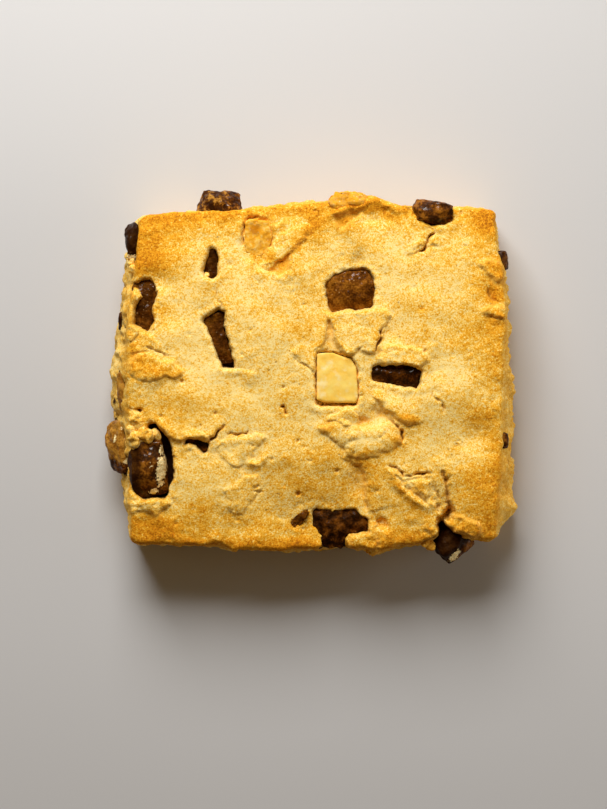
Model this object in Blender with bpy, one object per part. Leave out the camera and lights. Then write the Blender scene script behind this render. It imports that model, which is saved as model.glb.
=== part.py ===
"""Thick square-cut shortbread with chocolate chunks baked into it.

One slab of dough with a soft, folded crust and bulging walls, and chunks of dark, milk and white
chocolate, each a solid of its own in a pocket of the dough. The base is flat and lies at z = 0, and
the side that the browned flake is on is -X.

Blender 4.5: blender --background --python part.py
"""

import bmesh
import bpy
import numpy as np
from mathutils import Matrix, Vector, noise

# Sizes below are in millimetres; MM turns them into the scene's metres.
MM = 0.001

# The slab
CRUST_HALF_WIDTH = 36.5  # along X, corner to corner of the crust
CRUST_HALF_DEPTH = 33.5  # along Y
CRUST_HEIGHT = 18.4
CORNER_RADIUS = 2.6
EDGE_RADIUS = 1.7
DOUGH_CELL = 0.6  # size of one face before the mesh is thinned out
DOUGH_TRIANGLES = 7800  # before the pockets are cut
EDGE_STEP = 1.0  # width of the slope at a torn edge

# The pockets
GAP = 0.3
POCKET_RISE = 9.0

# Where the crust's edge runs: (place along the side, distance from the middle)
CRUST_LEFT = ((-33, 36.4), (-14, 36.9), (0, 37.4), (10, 37.0), (23, 35.4), (33, 34.9))
CRUST_RIGHT = ((-33, 36.6), (-20, 37.6), (5, 37.9), (20, 38.4), (25, 37.2), (33, 36.8))
CRUST_FRONT = ((-36, 33.3), (-16, 34.5), (-5, 34.8), (3, 34.2), (13, 35.0), (23, 33.8), (36, 32.9))
CRUST_BACK = ((-36, 32.8), (-14, 33.9), (-5, 34.8), (2, 35.0), (6, 36.3), (12, 36.1), (18, 34.7), (36, 34.1))

# How far the wall swells past that edge, along each side
SWELL_LEFT = ((-33, 0.9), (-28, 1.2), (-22, 2.6), (-10, 4.0), (2, 3.9), (11, 2.9), (25, 2.6), (33, 0.9))
SWELL_RIGHT = (
    (-33, 1.0), (-27, 4.3), (-23, 3.0), (-10, 3.3), (0, 2.8), (5, 1.8), (20, 1.9), (26, 0.8), (33, 0.7),
)
SWELL_FRONT = ((-36, 0.4), (0, 0.6), (36, 0.4))
SWELL_BACK = ((-36, 0.4), (0, 0.7), (36, 0.4))
WALL_PROFILE = (  # (share of the height, share of the swell)
    (0.0, -0.05), (0.03, 0.35), (0.1, 0.75), (0.22, 0.95), (0.38, 1.0), (0.6, 0.8), (0.8, 0.42), (1.0, 0.0),
)

# Soft swells and hollows of the crust: (x, y, half length, half width, turn in degrees, height)
SWELLS = (
    (-28, 26, 9, 7, 0, 0.5),
    (-8, 8, 12, 7, 0, 0.4),
    (28, 12, 9, 10, 0, 0.5),
    (32, -24, 6, 8, 0, 0.7),
    (-37.6, 14.5, 1.8, 5, 0, 0.9),
    (6.5, 32, 1.9, 1.7, 0, 0.7),
    (7.8, 18, 8.5, 6.5, 0, -0.9),
    (9.5, 23, 1.6, 2.2, 0, -0.7),
    (16.5, -0.5, 7.5, 3.8, 0, -0.6),
    (3.2, 7, 1.6, 2.4, 0, -0.6),
    (-19, 8, 3.5, 8, 15, -0.5),
    (-20.2, 23, 2.5, 4.5, -15, -0.4),
    (-9, 27, 5, 4, 40, -0.5),
    (-5, -18, 8, 4.5, 0, -0.9),
    (32, -12.5, 4, 3, 0, -0.5),
    (27.3, -28.5, 2.2, 4, 0, -1.0),
    (-32.5, -18, 6, 8, 10, -0.5),
    (12.5, 31.8, 2.6, 1.2, 0, -0.7),
    (14.4, -30, 1.2, 1.4, 0, -1.0),
    (5, -29, 7, 4, 0, -0.5),
)

# Torn edges of the crust's skins and folds: (rise, how far back the lift reaches, points).
# The dough to the left of the line's direction is the higher.
SCARPS = (
    # the browned back left corner, above the chunk in the left edge
    (1.0, 6.0, ((-37.0, 21.5), (-34.0, 21.0), (-31.0, 20.5), (-29.0, 18.5))),
    # the hollow over the browned white chunk, and the skin folded across it
    (0.5, 5.0, ((-14.8, 24.0), (-14.0, 29.0), (-12.9, 32.0), (-7.6, 31.4))),
    (0.7, 5.0, ((0.0, 29.6), (-3.8, 24.6), (-4.8, 21.2), (-6.2, 20.4), (-10.0, 22.2))),
    (0.6, 3.0, ((-2.0, 32.6), (-8.4, 31.0), (-7.2, 28.2), (-9.4, 26.0), (-9.7, 22.0))),
    (0.8, 4.0, ((-8.8, 21.7), (-5.0, 24.4), (-3.5, 26.3), (-0.4, 30.2))),
    # the tongue between the milk square and the white square
    (0.8, 4.0, ((3.5, 13.2), (3.9, 10.4), (5.9, 5.0), (12.3, 4.5), (13.5, 9.0), (15.8, 12.4))),
    (0.5, 4.0, ((13.2, 14.2), (9.0, 13.4), (6.9, 13.9), (3.0, 12.7))),
    # behind and before the dark oblong
    (0.6, 3.5, ((23.5, 4.8), (19.2, 5.7), (15.0, 6.4), (13.6, 5.0), (12.9, 3.0))),
    (1.0, 5.0, ((11.8, -2.9), (13.6, -5.6), (15.2, -7.4), (17.5, -9.3), (21.0, -10.8))),
    # the fold in front of the white square
    (0.6, 4.0, ((10.2, -10.6), (9.4, -7.3), (8.2, -5.2))),
    (0.5, 3.0, ((16.0, -8.4), (12.0, -8.9), (9.6, -10.4))),
    (0.8, 4.0, ((4.0, -15.4), (8.0, -14.9), (11.3, -16.7), (13.6, -15.7), (17.0, -14.4), (18.8, -12))),
    # the fold that runs on to the front
    (1.2, 6.0, ((4.0, -14.9), (6.6, -17.0), (9.9, -20.0), (10.9, -24.0), (10.5, -28.5))),
    (1.1, 2.5, ((14.6, -17.2), (17.0, -20.4), (19.5, -23.0), (22.0, -25.0), (25.6, -27.2))),
    # the long tear from the large milk chunk past the dark glimpse
    (1.1, 5.0, ((-34.0, -7.8), (-28.6, -12.6), (-20.3, -12.3), (-18.4, -10.9), (-13.0, -11.0), (-11.7, -8))),
    # the lip in front of the large milk chunk
    (0.5, 2.5, ((-27.8, -23.0), (-31.0, -24.7), (-35.0, -24.9), (-37.0, -23.0))),
    (0.6, 2.5, ((-37.0, -27.3), (-32.0, -28.6), (-27.5, -26.4))),
    # the browned flake by the left edge
    (
        0.9, 2.5,
        ((-36.8, 3.2), (-32.7, -0.9), (-27.5, 0.1), (-25.3, 1.4), (-30.3, 3.1), (-33.4, 5.0), (-36.8, 3.2)),
    ),
    # the folds over the right edge
    (0.7, 2.0, ((33.5, 23.0), (36.2, 23.5), (39.0, 22.0))),
    (0.9, 2.0, ((33.0, 13.2), (36.5, 12.4), (40.0, 11.0))),
    # low steps in the middle
    (0.3, 4.0, ((-9.0, 1.0), (-14.0, 1.4), (-20.0, 1.9))),
    (0.4, 2.5, ((-4.2, 5.8), (-3.7, 3.9), (-1.4, 2.6), (1.0, 0.8))),
)

# Cracks and furrows: (depth, half width, points)
CRACKS = (
    (1.3, 0.5, ((23.5, 30.6), (24.4, 29.4), (22.9, 27.2), (22.2, 26.0))),
    (1.4, 0.6, ((13.9, 9.0), (13.4, 6.4), (12.5, 4.0))),
    (0.9, 0.5, ((15.2, -8.2), (16.5, -9.9), (17.9, -11.6), (18.2, -13.2))),
    (1.1, 0.5, ((15.0, -17.5), (16.7, -18.2), (18.3, -20.1), (20.2, -19.6), (25.0, -19.1))),
    (1.5, 0.7, ((26.8, -20.0), (27.4, -25.0), (27.5, -26.8), (25.8, -29.4))),
    (1.0, 0.5, ((-20.4, -12.8), (-18.7, -11.4), (-17.4, -9.4))),
    (0.9, 0.9, ((35.0, 18.4), (36.2, 15.6), (38.2, 13.8))),
    (0.9, 0.5, ((21.6, -33.4), (25.2, -31.8))),
)

# The handle-like fold at the back edge, and one more welt: (height, half width, points)
WELTS = (
    (0.8, 0.8, ((8.6, 33.6), (11.0, 34.6), (14.0, 34.2), (16.3, 32.8), (18.2, 30.6))),
    (0.5, 0.8, ((-14.0, -17.0), (-11.0, -16.9), (-8.0, -15.6))),
)

# Lumps that stand out of the crust or a wall: (x, y, z, radius, height)
LUMPS = (
    (-35.4, -8.4, 18, 1.6, 1.2),
    (-35.6, -12.0, 17, 1.7, 1.2),
    (-33.2, -11.4, 18, 1.4, 1.2),
    (15.4, -32.4, 17, 1.5, 0.9),
    (8.8, -32.8, 17, 1.8, 0.6),
    (12.0, -35.2, 14, 1.4, 0.9),
    (23.4, -34.6, 13, 1.8, 1.3),
    (-18.6, -32.6, 17, 1.2, 0.6),
    (40.6, 18.8, 9, 1.3, 0.9),
    (41.0, -2.8, 8, 2.0, 0.6),
    (42.0, -26.6, 8, 2.2, 1.4),
    (40.2, 10.7, 9, 1.4, 0.6),
    (-39.0, 23.4, 8, 1.6, 0.6),
)

# Chocolate: colour (linear), roughness
DARK = ((0.020, 0.008, 0.004, 1.0), 0.35)
MILK = ((0.105, 0.042, 0.012, 1.0), 0.45)
WHITE = ((0.86, 0.60, 0.22, 1.0), 0.5)
BROWNED_WHITE = ((0.62, 0.30, 0.05, 1.0), 0.55)
DOUGH = ((0.80, 0.52, 0.17, 1.0), 0.85)

# Chunks that show in the crust: (name, kind, top height, thickness, outline)
CRUST_CHUNKS = (
    (
        "milk_square", MILK, 17.6, 6.5,
        ((3.2, 19.9), (6.6, 21.0), (10.8, 21.4), (12.2, 19.9), (12.3, 14.6), (3.9, 13.0), (3.0, 16.0)),
    ),
    (
        "white_square", WHITE, 18.1, 6.0,
        ((1.1, 4.7), (4.0, 5.0), (7.9, 4.1), (8.9, 2.5), (9.5, -4.2), (8.8, -5.2), (0.8, -4.9)),
    ),
    (
        "dark_oblong", DARK, 17.5, 6.0,
        ((12.2, 2.3), (15.2, 2.7), (21.8, 1.6), (20.9, -2.3), (18.1, -1.9), (16.4, -1.2), (12.3, -0.7)),
    ),
    (
        "milk_splinter", MILK, 17.6, 6.5,
        ((-21.5, 11.9), (-17.6, 13.0), (-18.0, 10.2), (-15.8, 2.0), (-17.8, 2.0), (-19.9, 7.5)),
    ),
    (
        "milk_sliver", MILK, 17.8, 5.0,
        ((-20.2, 25.4), (-18.9, 24.8), (-18.8, 23.1), (-19.4, 20.2), (-21.2, 20.3), (-21.4, 22.2)),
    ),
    (
        "milk_left_edge", MILK, 17.0, 6.0,
        (
            (-36.4, 18.4), (-32.9, 19.1), (-31.3, 17.8), (-31.8, 12.2),
            (-33.2, 9.3), (-35.7, 10.8), (-35.6, 15.6),
        ),
    ),
    (
        "dark_glimpse", DARK, 17.0, 5.0,
        ((-25.6, -12.7), (-23.0, -12.2), (-20.3, -12.8), (-21.0, -15.0), (-22.6, -14.6)),
    ),
    (
        "dark_front_edge", DARK, 16.6, 6.0,
        (
            (0.3, -26.8), (4.0, -27.3), (8.5, -26.6), (11.3, -28.8), (11.0, -31.2),
            (7.1, -31.9), (6.9, -35.8), (2.5, -35.8), (2.3, -31.9), (0.6, -30.4),
        ),
    ),
    (
        "milk_front_sliver", MILK, 17.4, 4.0,
        ((-3.9, -29.3), (-3.2, -28.0), (-1.0, -26.7), (-0.7, -27.2), (-2.2, -29.2), (-3.2, -30.0)),
    ),
    (
        "white_browned", BROWNED_WHITE, 18.6, 5.5,
        ((-13.9, 31.4), (-12.8, 32.0), (-8.2, 31.4), (-7.4, 28.4), (-9.4, 25.9), (-13.4, 25.2)),
    ),
)

# Rounded chunks: (name, kind, centre, half sizes, turn about Z in degrees, roundness 0 to 1)
ROUND_CHUNKS = (
    ("milk_large", MILK, (-33.0, -18.0, 14.8), (3.5, 5.7, 3.2), 8, 0.8),
    ("dark_left_wall", DARK, (-35.6, 26.8, 14.2), (2.1, 4.2, 2.6), 4, 0.7),
    ("milk_left_wall", MILK, (-38.2, -14.2, 7.6), (3.3, 4.8, 3.6), 10, 0.85),
    ("milk_left_seam", MILK, (-38.6, -3.6, 13.4), (1.5, 3.6, 1.1), 4, 0.6),
    ("dark_left_speck", DARK, (-38.6, 11.4, 10.4), (1.1, 2.0, 1.7), 0, 0.6),
    ("milk_back_wall", MILK, (-18.7, 34.6, 11.0), (4.2, 3.5, 4.0), -6, 0.9),
    ("milk_back_corner", MILK, (24.2, 33.0, 16.2), (4.0, 2.5, 2.6), -12, 0.6),
    ("white_back_browned", BROWNED_WHITE, (8.0, 35.3, 15.6), (4.2, 1.9, 2.4), -6, 0.7),
    ("milk_right_wall", MILK, (37.0, 23.4, 13.6), (2.5, 2.1, 2.2), 10, 0.8),
    ("milk_right_speck", MILK, (38.3, -12.7, 14.6), (1.2, 1.5, 1.2), 0, 0.6),
    ("dark_front_corner", DARK, (28.3, -33.0, 12.2), (3.3, 4.2, 4.4), -14, 0.6),
)

# The large milk chunk has shrunk away from the dough, on its right and before it: (floor, outline)
LOOSE_HOLLOW = (
    13.0,
    ((-35.0, -12.8), (-29.8, -11.9), (-28.0, -14.0), (-27.7, -19.4), (-29.0, -23.4), (-34.6, -24.4)),
)


def along(points, place):
    """The value at a place along a side, from its few named points."""
    return np.interp(place, [p[0] for p in points], [p[1] for p in points])


def noise_at(x, y, z, scale, seed):
    """Smooth noise from about -1 to 1 whose lumps are about scale millimetres across."""
    spots = np.column_stack((x, y, z)) / scale + seed * 17.3
    return np.array([noise.noise(Vector(spot)) for spot in spots])


def line_distance(x, y, points):
    """Distance to a line, negative to its right, and how far along it the nearest point is, 0 to 1."""
    best = np.full(x.shape, np.inf)
    lean = np.zeros(x.shape)
    share = np.zeros(x.shape)
    pieces = len(points) - 1
    for i in range(pieces):
        (ax, ay), (bx, by) = points[i], points[i + 1]
        dx, dy = bx - ax, by - ay
        length = np.hypot(dx, dy)
        t = np.clip(((x - ax) * dx + (y - ay) * dy) / length**2, 0, 1)
        away = np.hypot(x - ax - t * dx, y - ay - t * dy)
        across = (dx * (y - ay) - dy * (x - ax)) / length
        # at a corner both pieces are as near, and the one seen more squarely tells the side
        nearer = (away < best - 1e-9) | ((away < best + 1e-9) & (np.abs(across) > np.abs(lean)))
        best = np.where(nearer, away, best)
        lean = np.where(nearer, across, lean)
        share = np.where(nearer, (i + t) / pieces, share)
    return np.where(lean < 0, -best, best), share


def end_taper(share, points):
    """Fades a feature out towards the ends of its line, unless the line is closed."""
    if points[0] == points[-1]:
        return np.ones(share.shape)
    return np.clip(5 * np.minimum(share, 1 - share), 0, 1)


def crust_relief(x, y):
    """Height of the crust's swells, torn skins and cracks above its mean surface."""
    flat = np.zeros(x.shape)
    height = 0.5 * noise_at(x, y, flat, 13, 1) + 0.3 * noise_at(x, y, flat, 5.5, 2)
    height -= 0.9 * (x / CRUST_HALF_WIDTH) ** 4 + 1.2 * (y / CRUST_HALF_DEPTH) ** 4
    for cx, cy, length, width, turn, rise in SWELLS:
        c, s = np.cos(np.radians(turn)), np.sin(np.radians(turn))
        a = ((x - cx) * c + (y - cy) * s) / length
        b = ((y - cy) * c - (x - cx) * s) / width
        height += rise * np.exp(-a * a - b * b)
    # torn edges wander a little
    tx = x + 0.45 * noise_at(x, y, flat, 1.8, 3)
    ty = y + 0.45 * noise_at(x, y, flat, 1.8, 4)
    for rise, reach, points in SCARPS:
        side, share = line_distance(tx, ty, points)
        step = np.clip(side / EDGE_STEP + 0.5, 0, 1)
        lift = step * np.exp(-np.clip(side, 0, None) / reach)
        foot = (1 - step) * 0.3 * np.exp(-np.abs(side) / 1.2)
        height += rise * end_taper(share, points) * (lift - foot)
    for depth, half_width, points in CRACKS:
        side, share = line_distance(tx, ty, points)
        height -= depth * end_taper(share, points) * np.exp(-((side / half_width) ** 2))
    for rise, half_width, points in WELTS:
        side, share = line_distance(tx, ty, points)
        height += rise * end_taper(share, points) * np.exp(-((side / half_width) ** 2))
    return height


def lumps_at(x, y, z):
    """How far the dough stands out at a point, because of the lumps near it."""
    out = np.zeros(x.shape)
    for cx, cy, cz, radius, rise in LUMPS:
        away = np.sqrt((x - cx) ** 2 + (y - cy) ** 2 + (z - cz) ** 2)
        out = np.maximum(out, rise * np.exp(-((away / radius) ** 2)))
    return out


def slab_form(u, v, w):
    """Takes points of a cube from -1 to 1 to the slab: its top to the crust, its sides to the walls."""
    # Round the corners in plan. (a, b) runs from 0 inside to a length of 1 on the crust's edge.
    px, py = u * CRUST_HALF_WIDTH, v * CRUST_HALF_DEPTH
    inner_x, inner_y = CRUST_HALF_WIDTH - CORNER_RADIUS, CRUST_HALF_DEPTH - CORNER_RADIUS
    a = np.clip(np.abs(px) - inner_x, 0, None) / CORNER_RADIUS
    b = np.clip(np.abs(py) - inner_y, 0, None) / CORNER_RADIUS
    a, b = a * np.sqrt(1 - b * b / 2), b * np.sqrt(1 - a * a / 2)
    px = np.sign(px) * np.where(a > 0, inner_x + CORNER_RADIUS * a, np.abs(px))
    py = np.sign(py) * np.where(b > 0, inner_y + CORNER_RADIUS * b, np.abs(py))
    a, b = a * np.sign(px), b * np.sign(py)
    edge = np.clip(np.hypot(a, b), 0, 1)

    # Stretch that plan to the crust's own outline.
    to_side = np.where(px < 0, along(CRUST_LEFT, py), along(CRUST_RIGHT, py))
    to_end = np.where(py < 0, along(CRUST_FRONT, px), along(CRUST_BACK, px))
    x, y = px / CRUST_HALF_WIDTH * to_side, py / CRUST_HALF_DEPTH * to_end

    # The crust, rounded over at its edge
    inward = CORNER_RADIUS * (1 - edge)
    over = np.clip(1 - inward / EDGE_RADIUS, 0, 1)
    top = CRUST_HEIGHT + crust_relief(x, y) - EDGE_RADIUS * (1 - np.sqrt(1 - over * over))

    # The walls swell out below the crust and turn in at the foot.
    share = (w + 1) / 2
    side_swell = np.where(a < 0, along(SWELL_LEFT, y), along(SWELL_RIGHT, y))
    end_swell = np.where(b < 0, along(SWELL_FRONT, x), along(SWELL_BACK, x))
    swell = (a * a * side_swell + b * b * end_swell) * along(WALL_PROFILE, share)
    foot = 1.3 * np.clip(1 - share / 0.09, 0, 1) ** 2
    z = top * share
    rough = 0.55 * noise_at(x, y, z * 1.5, 6, 5) + 0.35 * noise_at(x, y, z * 2, 2.6, 6)
    rough += 0.2 * noise_at(x, y, z, 9, 7)
    rough *= 4 * share * (1 - share)
    out = swell - foot + rough
    x, y = x + a * out, y + b * out

    lump = lumps_at(x, y, z)
    upward = np.where(w > 0.999, 1 - edge**4, 0)
    return x + a * lump * (1 - upward), y + b * lump * (1 - upward), z + lump * upward


def subdivided_cube(cuts):
    """A cube from -1 to 1, with that many cuts along X, Y and Z."""
    bm = bmesh.new()
    bmesh.ops.create_cube(bm, size=2)
    for axis in range(3):
        runs = [
            e for e in bm.edges
            if abs(e.verts[0].co[axis] - e.verts[1].co[axis]) > 1
        ]
        bmesh.ops.subdivide_edges(bm, edges=runs, cuts=cuts[axis], use_grid_fill=True)
    return bm


def finish_mesh(bm, name, kind, collection, smooth=False):
    """Makes a named object from a mesh in millimetres."""
    bm.transform(Matrix.Scale(MM, 4))
    bmesh.ops.recalc_face_normals(bm, faces=bm.faces)
    mesh = bpy.data.meshes.new(name)
    bm.to_mesh(mesh)
    bm.free()
    if smooth:
        mesh.shade_smooth()
    if kind:
        mesh.materials.append(finish_of(*kind))
    obj = bpy.data.objects.new(name, mesh)
    collection.objects.link(obj)
    return obj


def finish_of(colour, roughness):
    """One material for each colour, made once."""
    name = "finish_" + "_".join(f"{round(100 * c):02d}" for c in colour[:3])
    if name not in bpy.data.materials:
        material = bpy.data.materials.new(name)
        material.use_nodes = True
        surface = material.node_tree.nodes["Principled BSDF"]
        surface.inputs["Base Color"].default_value = colour
        surface.inputs["Roughness"].default_value = roughness
        surface.inputs["Metallic"].default_value = 0.0
    return bpy.data.materials[name]


def make_dough(collection, pockets):
    """The slab, thinned to the faces that its folds need, with a pocket cut for each chunk."""
    sides = (2 * CRUST_HALF_WIDTH, 2 * CRUST_HALF_DEPTH, CRUST_HEIGHT)
    bm = subdivided_cube([round(side / DOUGH_CELL) - 1 for side in sides])
    u, v, w = np.array([vert.co for vert in bm.verts]).T
    for vert, spot in zip(bm.verts, zip(*slab_form(u, v, w))):
        vert.co = spot
    made = len(bm.faces) * 2
    dough = finish_mesh(bm, "dough", DOUGH, collection, smooth=True)
    thin = dough.modifiers.new("Thin", "DECIMATE")
    thin.ratio = DOUGH_TRIANGLES / made
    cut = dough.modifiers.new("Pockets", "BOOLEAN")
    cut.operation = "DIFFERENCE"
    cut.operand_type = "COLLECTION"
    cut.collection = pockets
    cut.solver = "EXACT"
    return dough


def fatten(bm, gap):
    """Moves every face outwards by the gap."""
    bm.normal_update()
    moves = [vert.normal * vert.calc_shell_factor() * gap for vert in bm.verts]
    for vert, move in zip(bm.verts, moves):
        vert.co += move


def prism(outline, low, high):
    bm = bmesh.new()
    ring = [bm.verts.new((x, y, low)) for x, y in outline]
    floor = bm.faces.new(ring)
    made = bmesh.ops.extrude_face_region(bm, geom=[floor], use_keep_orig=True)
    raised = [item for item in made["geom"] if isinstance(item, bmesh.types.BMVert)]
    bmesh.ops.translate(bm, verts=raised, vec=(0, 0, high - low))
    bmesh.ops.recalc_face_normals(bm, faces=bm.faces)
    return bm


def cutter(bm, name, pockets):
    obj = finish_mesh(bm, "pocket_" + name, None, pockets)
    obj.hide_render = True
    obj.display_type = "WIRE"


def make_crust_chunk(name, kind, top, thick, outline, collection, pockets):
    """A cut block of chocolate, sunk in the crust, in a pocket that is open above it."""
    hollow = prism(outline, top - thick, top)
    fatten(hollow, GAP)
    for vert in hollow.verts:
        if vert.co.z > top:
            vert.co.z += POCKET_RISE
    cutter(hollow, name, pockets)

    block = prism(outline, top - thick, top)
    rim = [e for e in block.edges if all(v.co.z > top - 0.01 for v in e.verts)]
    bmesh.ops.bevel(block, geom=rim, offset=0.55, segments=2, profile=0.5, affect="EDGES", material=-1)
    finish_mesh(block, "chunk_" + name, kind, collection)


def rounded_block(centre, half_sizes, turn, roundness, seed):
    """A block between a cube and a ball, with uneven faces."""
    bm = subdivided_cube((3, 3, 3))
    for vert in bm.verts:
        ball = vert.co.normalized() * 1.12
        vert.co = vert.co.lerp(ball, roundness)
        vert.co *= 1 + 0.1 * noise.noise(vert.co * 1.3 + Vector((seed * 7.7, 0, 0)))
    bm.transform(Matrix.Diagonal((*half_sizes, 1)))
    bm.transform(Matrix.Rotation(np.radians(turn), 4, "Z"))
    bm.transform(Matrix.Translation(centre))
    return bm


def make_round_chunk(seed, name, kind, centre, half_sizes, turn, roundness, collection, pockets):
    """A rounded chunk, partly melted into the dough; the large one has room above it in the crust."""
    hollow = rounded_block(centre, half_sizes, turn, roundness, seed)
    bmesh.ops.recalc_face_normals(hollow, faces=hollow.faces)
    fatten(hollow, GAP)
    if centre[2] + half_sizes[2] > CRUST_HEIGHT - 0.5:
        for vert in hollow.verts:
            if vert.co.z > centre[2] + 0.2:
                vert.co.z += POCKET_RISE
    cutter(hollow, name, pockets)
    block = rounded_block(centre, half_sizes, turn, roundness, seed)
    finish_mesh(block, "chunk_" + name, kind, collection, smooth=True)


def make_collection(name):
    collection = bpy.data.collections.new(name)
    bpy.context.scene.collection.children.link(collection)
    return collection


def main():
    for obj in list(bpy.data.objects):
        bpy.data.objects.remove(obj)
    shortbread = make_collection("shortbread")
    pockets = make_collection("pockets")
    for chunk in CRUST_CHUNKS:
        make_crust_chunk(*chunk, shortbread, pockets)
    for seed, chunk in enumerate(ROUND_CHUNKS):
        make_round_chunk(seed, *chunk, shortbread, pockets)
    floor, outline = LOOSE_HOLLOW
    cutter(prism(outline, floor, CRUST_HEIGHT + POCKET_RISE), "loose_hollow", pockets)
    make_dough(shortbread, pockets)


main()
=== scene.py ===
import math

import bmesh
import bpy
import numpy as np
from mathutils import Matrix, Vector, noise


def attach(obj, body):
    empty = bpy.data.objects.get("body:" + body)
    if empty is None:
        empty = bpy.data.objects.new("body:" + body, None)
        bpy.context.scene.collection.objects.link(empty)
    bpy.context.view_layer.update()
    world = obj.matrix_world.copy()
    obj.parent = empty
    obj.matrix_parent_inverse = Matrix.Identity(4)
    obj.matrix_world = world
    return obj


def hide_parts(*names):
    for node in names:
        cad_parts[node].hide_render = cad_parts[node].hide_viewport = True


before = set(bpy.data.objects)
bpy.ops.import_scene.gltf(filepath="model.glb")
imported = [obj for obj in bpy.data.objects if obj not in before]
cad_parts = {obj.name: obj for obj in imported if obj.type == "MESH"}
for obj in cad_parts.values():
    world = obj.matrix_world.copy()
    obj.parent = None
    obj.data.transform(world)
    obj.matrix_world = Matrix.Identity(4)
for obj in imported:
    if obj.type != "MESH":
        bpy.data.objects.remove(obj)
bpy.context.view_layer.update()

# ---------------------------------------------------------------------------------------------
# The dough. One slab of shortbread, cut square and baked on a flat sheet: its crust has folded,
# torn round the chocolate and browned at the corners, and its cut walls have swelled into crumb.
# All sizes are in millimetres until a finished mesh is scaled to metres.
# ---------------------------------------------------------------------------------------------
MM = 0.001
CRUST_HALF_WIDTH = 36.5
CRUST_HALF_DEPTH = 33.5
CRUST_HEIGHT = 18.4
CORNER_RADIUS = 1.7
EDGE_RADIUS = 0.9

# The size of the mesh's faces on the crust and down the walls, and how many of them on the crust
# are cut in four
CRUST_CELL = 0.36
WALL_CELL = 0.5
REFINED_FACES = 8000

# Where the crust's edge runs: (place along the side, distance from the middle)
CRUST_LEFT = ((-33, 36.4), (-14, 36.9), (0, 37.4), (10, 37.0), (23, 35.4), (33, 34.9))
CRUST_RIGHT = (
    (-33, 36.8), (-20, 37.9), (-8, 38.2), (5, 38.6), (12, 39), (20, 38.6), (25, 37.4), (33, 36.9),
)
CRUST_FRONT = (
    (-36, 33.3), (-20, 33.9), (-17.5, 34.2), (-16, 35), (-14.5, 34.4), (-5, 34.8), (3, 34.2),
    (10, 34.2), (12, 35.2), (15, 34.8), (17, 34), (22, 33.2), (25, 32.4), (31, 32.4), (36, 32.9),
)
CRUST_BACK = (
    (-36, 32.8), (-14, 33.9), (-5, 34.8), (2, 35), (6, 36.3), (12, 36.1), (18, 34.7), (36, 34.1),
)

# How far each wall swells past that edge, and how the swell runs from the foot to the crust
SWELL_LEFT = (
    (-33, 0.9), (-28, 1.2), (-22, 2), (-18, 2.2), (-12, 2.2), (-8, 3.4), (-4, 4), (2, 3.9), (11, 2.9),
    (25, 2.6), (33, 0.9),
)
SWELL_RIGHT = (
    (-33, 0.9), (-30, 1.8), (-28.9, 3.3), (-27.9, 4.3), (-26.4, 4.7), (-25.2, 4.4), (-23.6, 3.3),
    (-10, 3.1), (0, 2.5), (5, 1.7), (12, 1.1), (20, 1.2), (26, 0.8), (33, 0.6),
)
SWELL_FRONT = ((-36, 0.4), (0, 0.6), (36, 0.4))
SWELL_BACK = ((-36, 0.4), (0, 0.7), (36, 0.4))
WALL_PROFILE = (
    (0, -0.05), (0.03, 0.35), (0.1, 0.75), (0.22, 0.95), (0.38, 1), (0.6, 0.8), (0.8, 0.42), (1, 0),
)

# Soft swells and hollows of the crust: (x, y, half length, half width, turn in degrees, height),
# with all their heights raised a little
SWELL_STRENGTH = 1.15
SWELLS = (
    (-28, 26, 9, 7, 0, 0.5),
    (-8, 8, 12, 7, 0, 0.4),
    (28, 12, 9, 10, 0, 0.5),
    (32, -24, 6, 8, 0, 0.7),
    (-28.5, 8.5, 4, 2.5, 10, 0.4),
    (-24, -4, 7, 3, -10, 0.5),
    (-22, -24, 8, 5, 0, 0.4),
    (24, -8, 6, 5, -20, 0.4),
    (7.8, 18, 8.5, 6.5, 0, -0.8),
    (9.5, 23, 1.3, 2.2, 0, -0.8),
    (16.5, -0.5, 7.5, 3.8, 0, -0.6),
    (-19, 8, 3.5, 8, 15, -0.6),
    (-20.2, 23, 2.5, 4.5, -15, -0.5),
    (-33.0, 19.6, 4.2, 1.8, -8, -0.9),
    (-9, 26, 5, 4, 40, -0.6),
    (-2.0, -27.6, 13, 6.5, 4, -1.25),
    (28, -3.5, 7, 4, 0, 0.6),
    (-31, 1.5, 7, 5, 0, 0.4),
    (-10.5, -22, 3, 6, 0, -0.4),
    (32, -12.5, 4, 3, 0, -0.8),
    (27.3, -27.5, 2.0, 4.5, 0, -1.1),
    (-32.5, -18, 6, 8, 10, -0.4),
    (-18, -14.5, 6, 2.2, 0, -0.5),
    (11.8, 32.0, 2.8, 1.3, -6, -0.5),
    (24.0, 1.4, 2.4, 3.0, 0, -0.35),
    (35.9, 16.2, 0.8, 2.2, 8, -0.6),
    (5, -29, 7, 4, 0, -0.5),
    (10.6, -8.9, 1.3, 1.0, 0, -0.9),
    (13.8, -7.6, 1.8, 1.2, -30, -0.7),
    (9.6, -20.5, 2.6, 6.0, 14, -1.5),
    (15.5, 9, 1.8, 3, 0, -0.4),
    (1.8, -9.9, 1.5, 1.2, 0, 0.3),
    (-12.6, -14.6, 2.4, 1.4, 0, 0.3),
)

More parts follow.
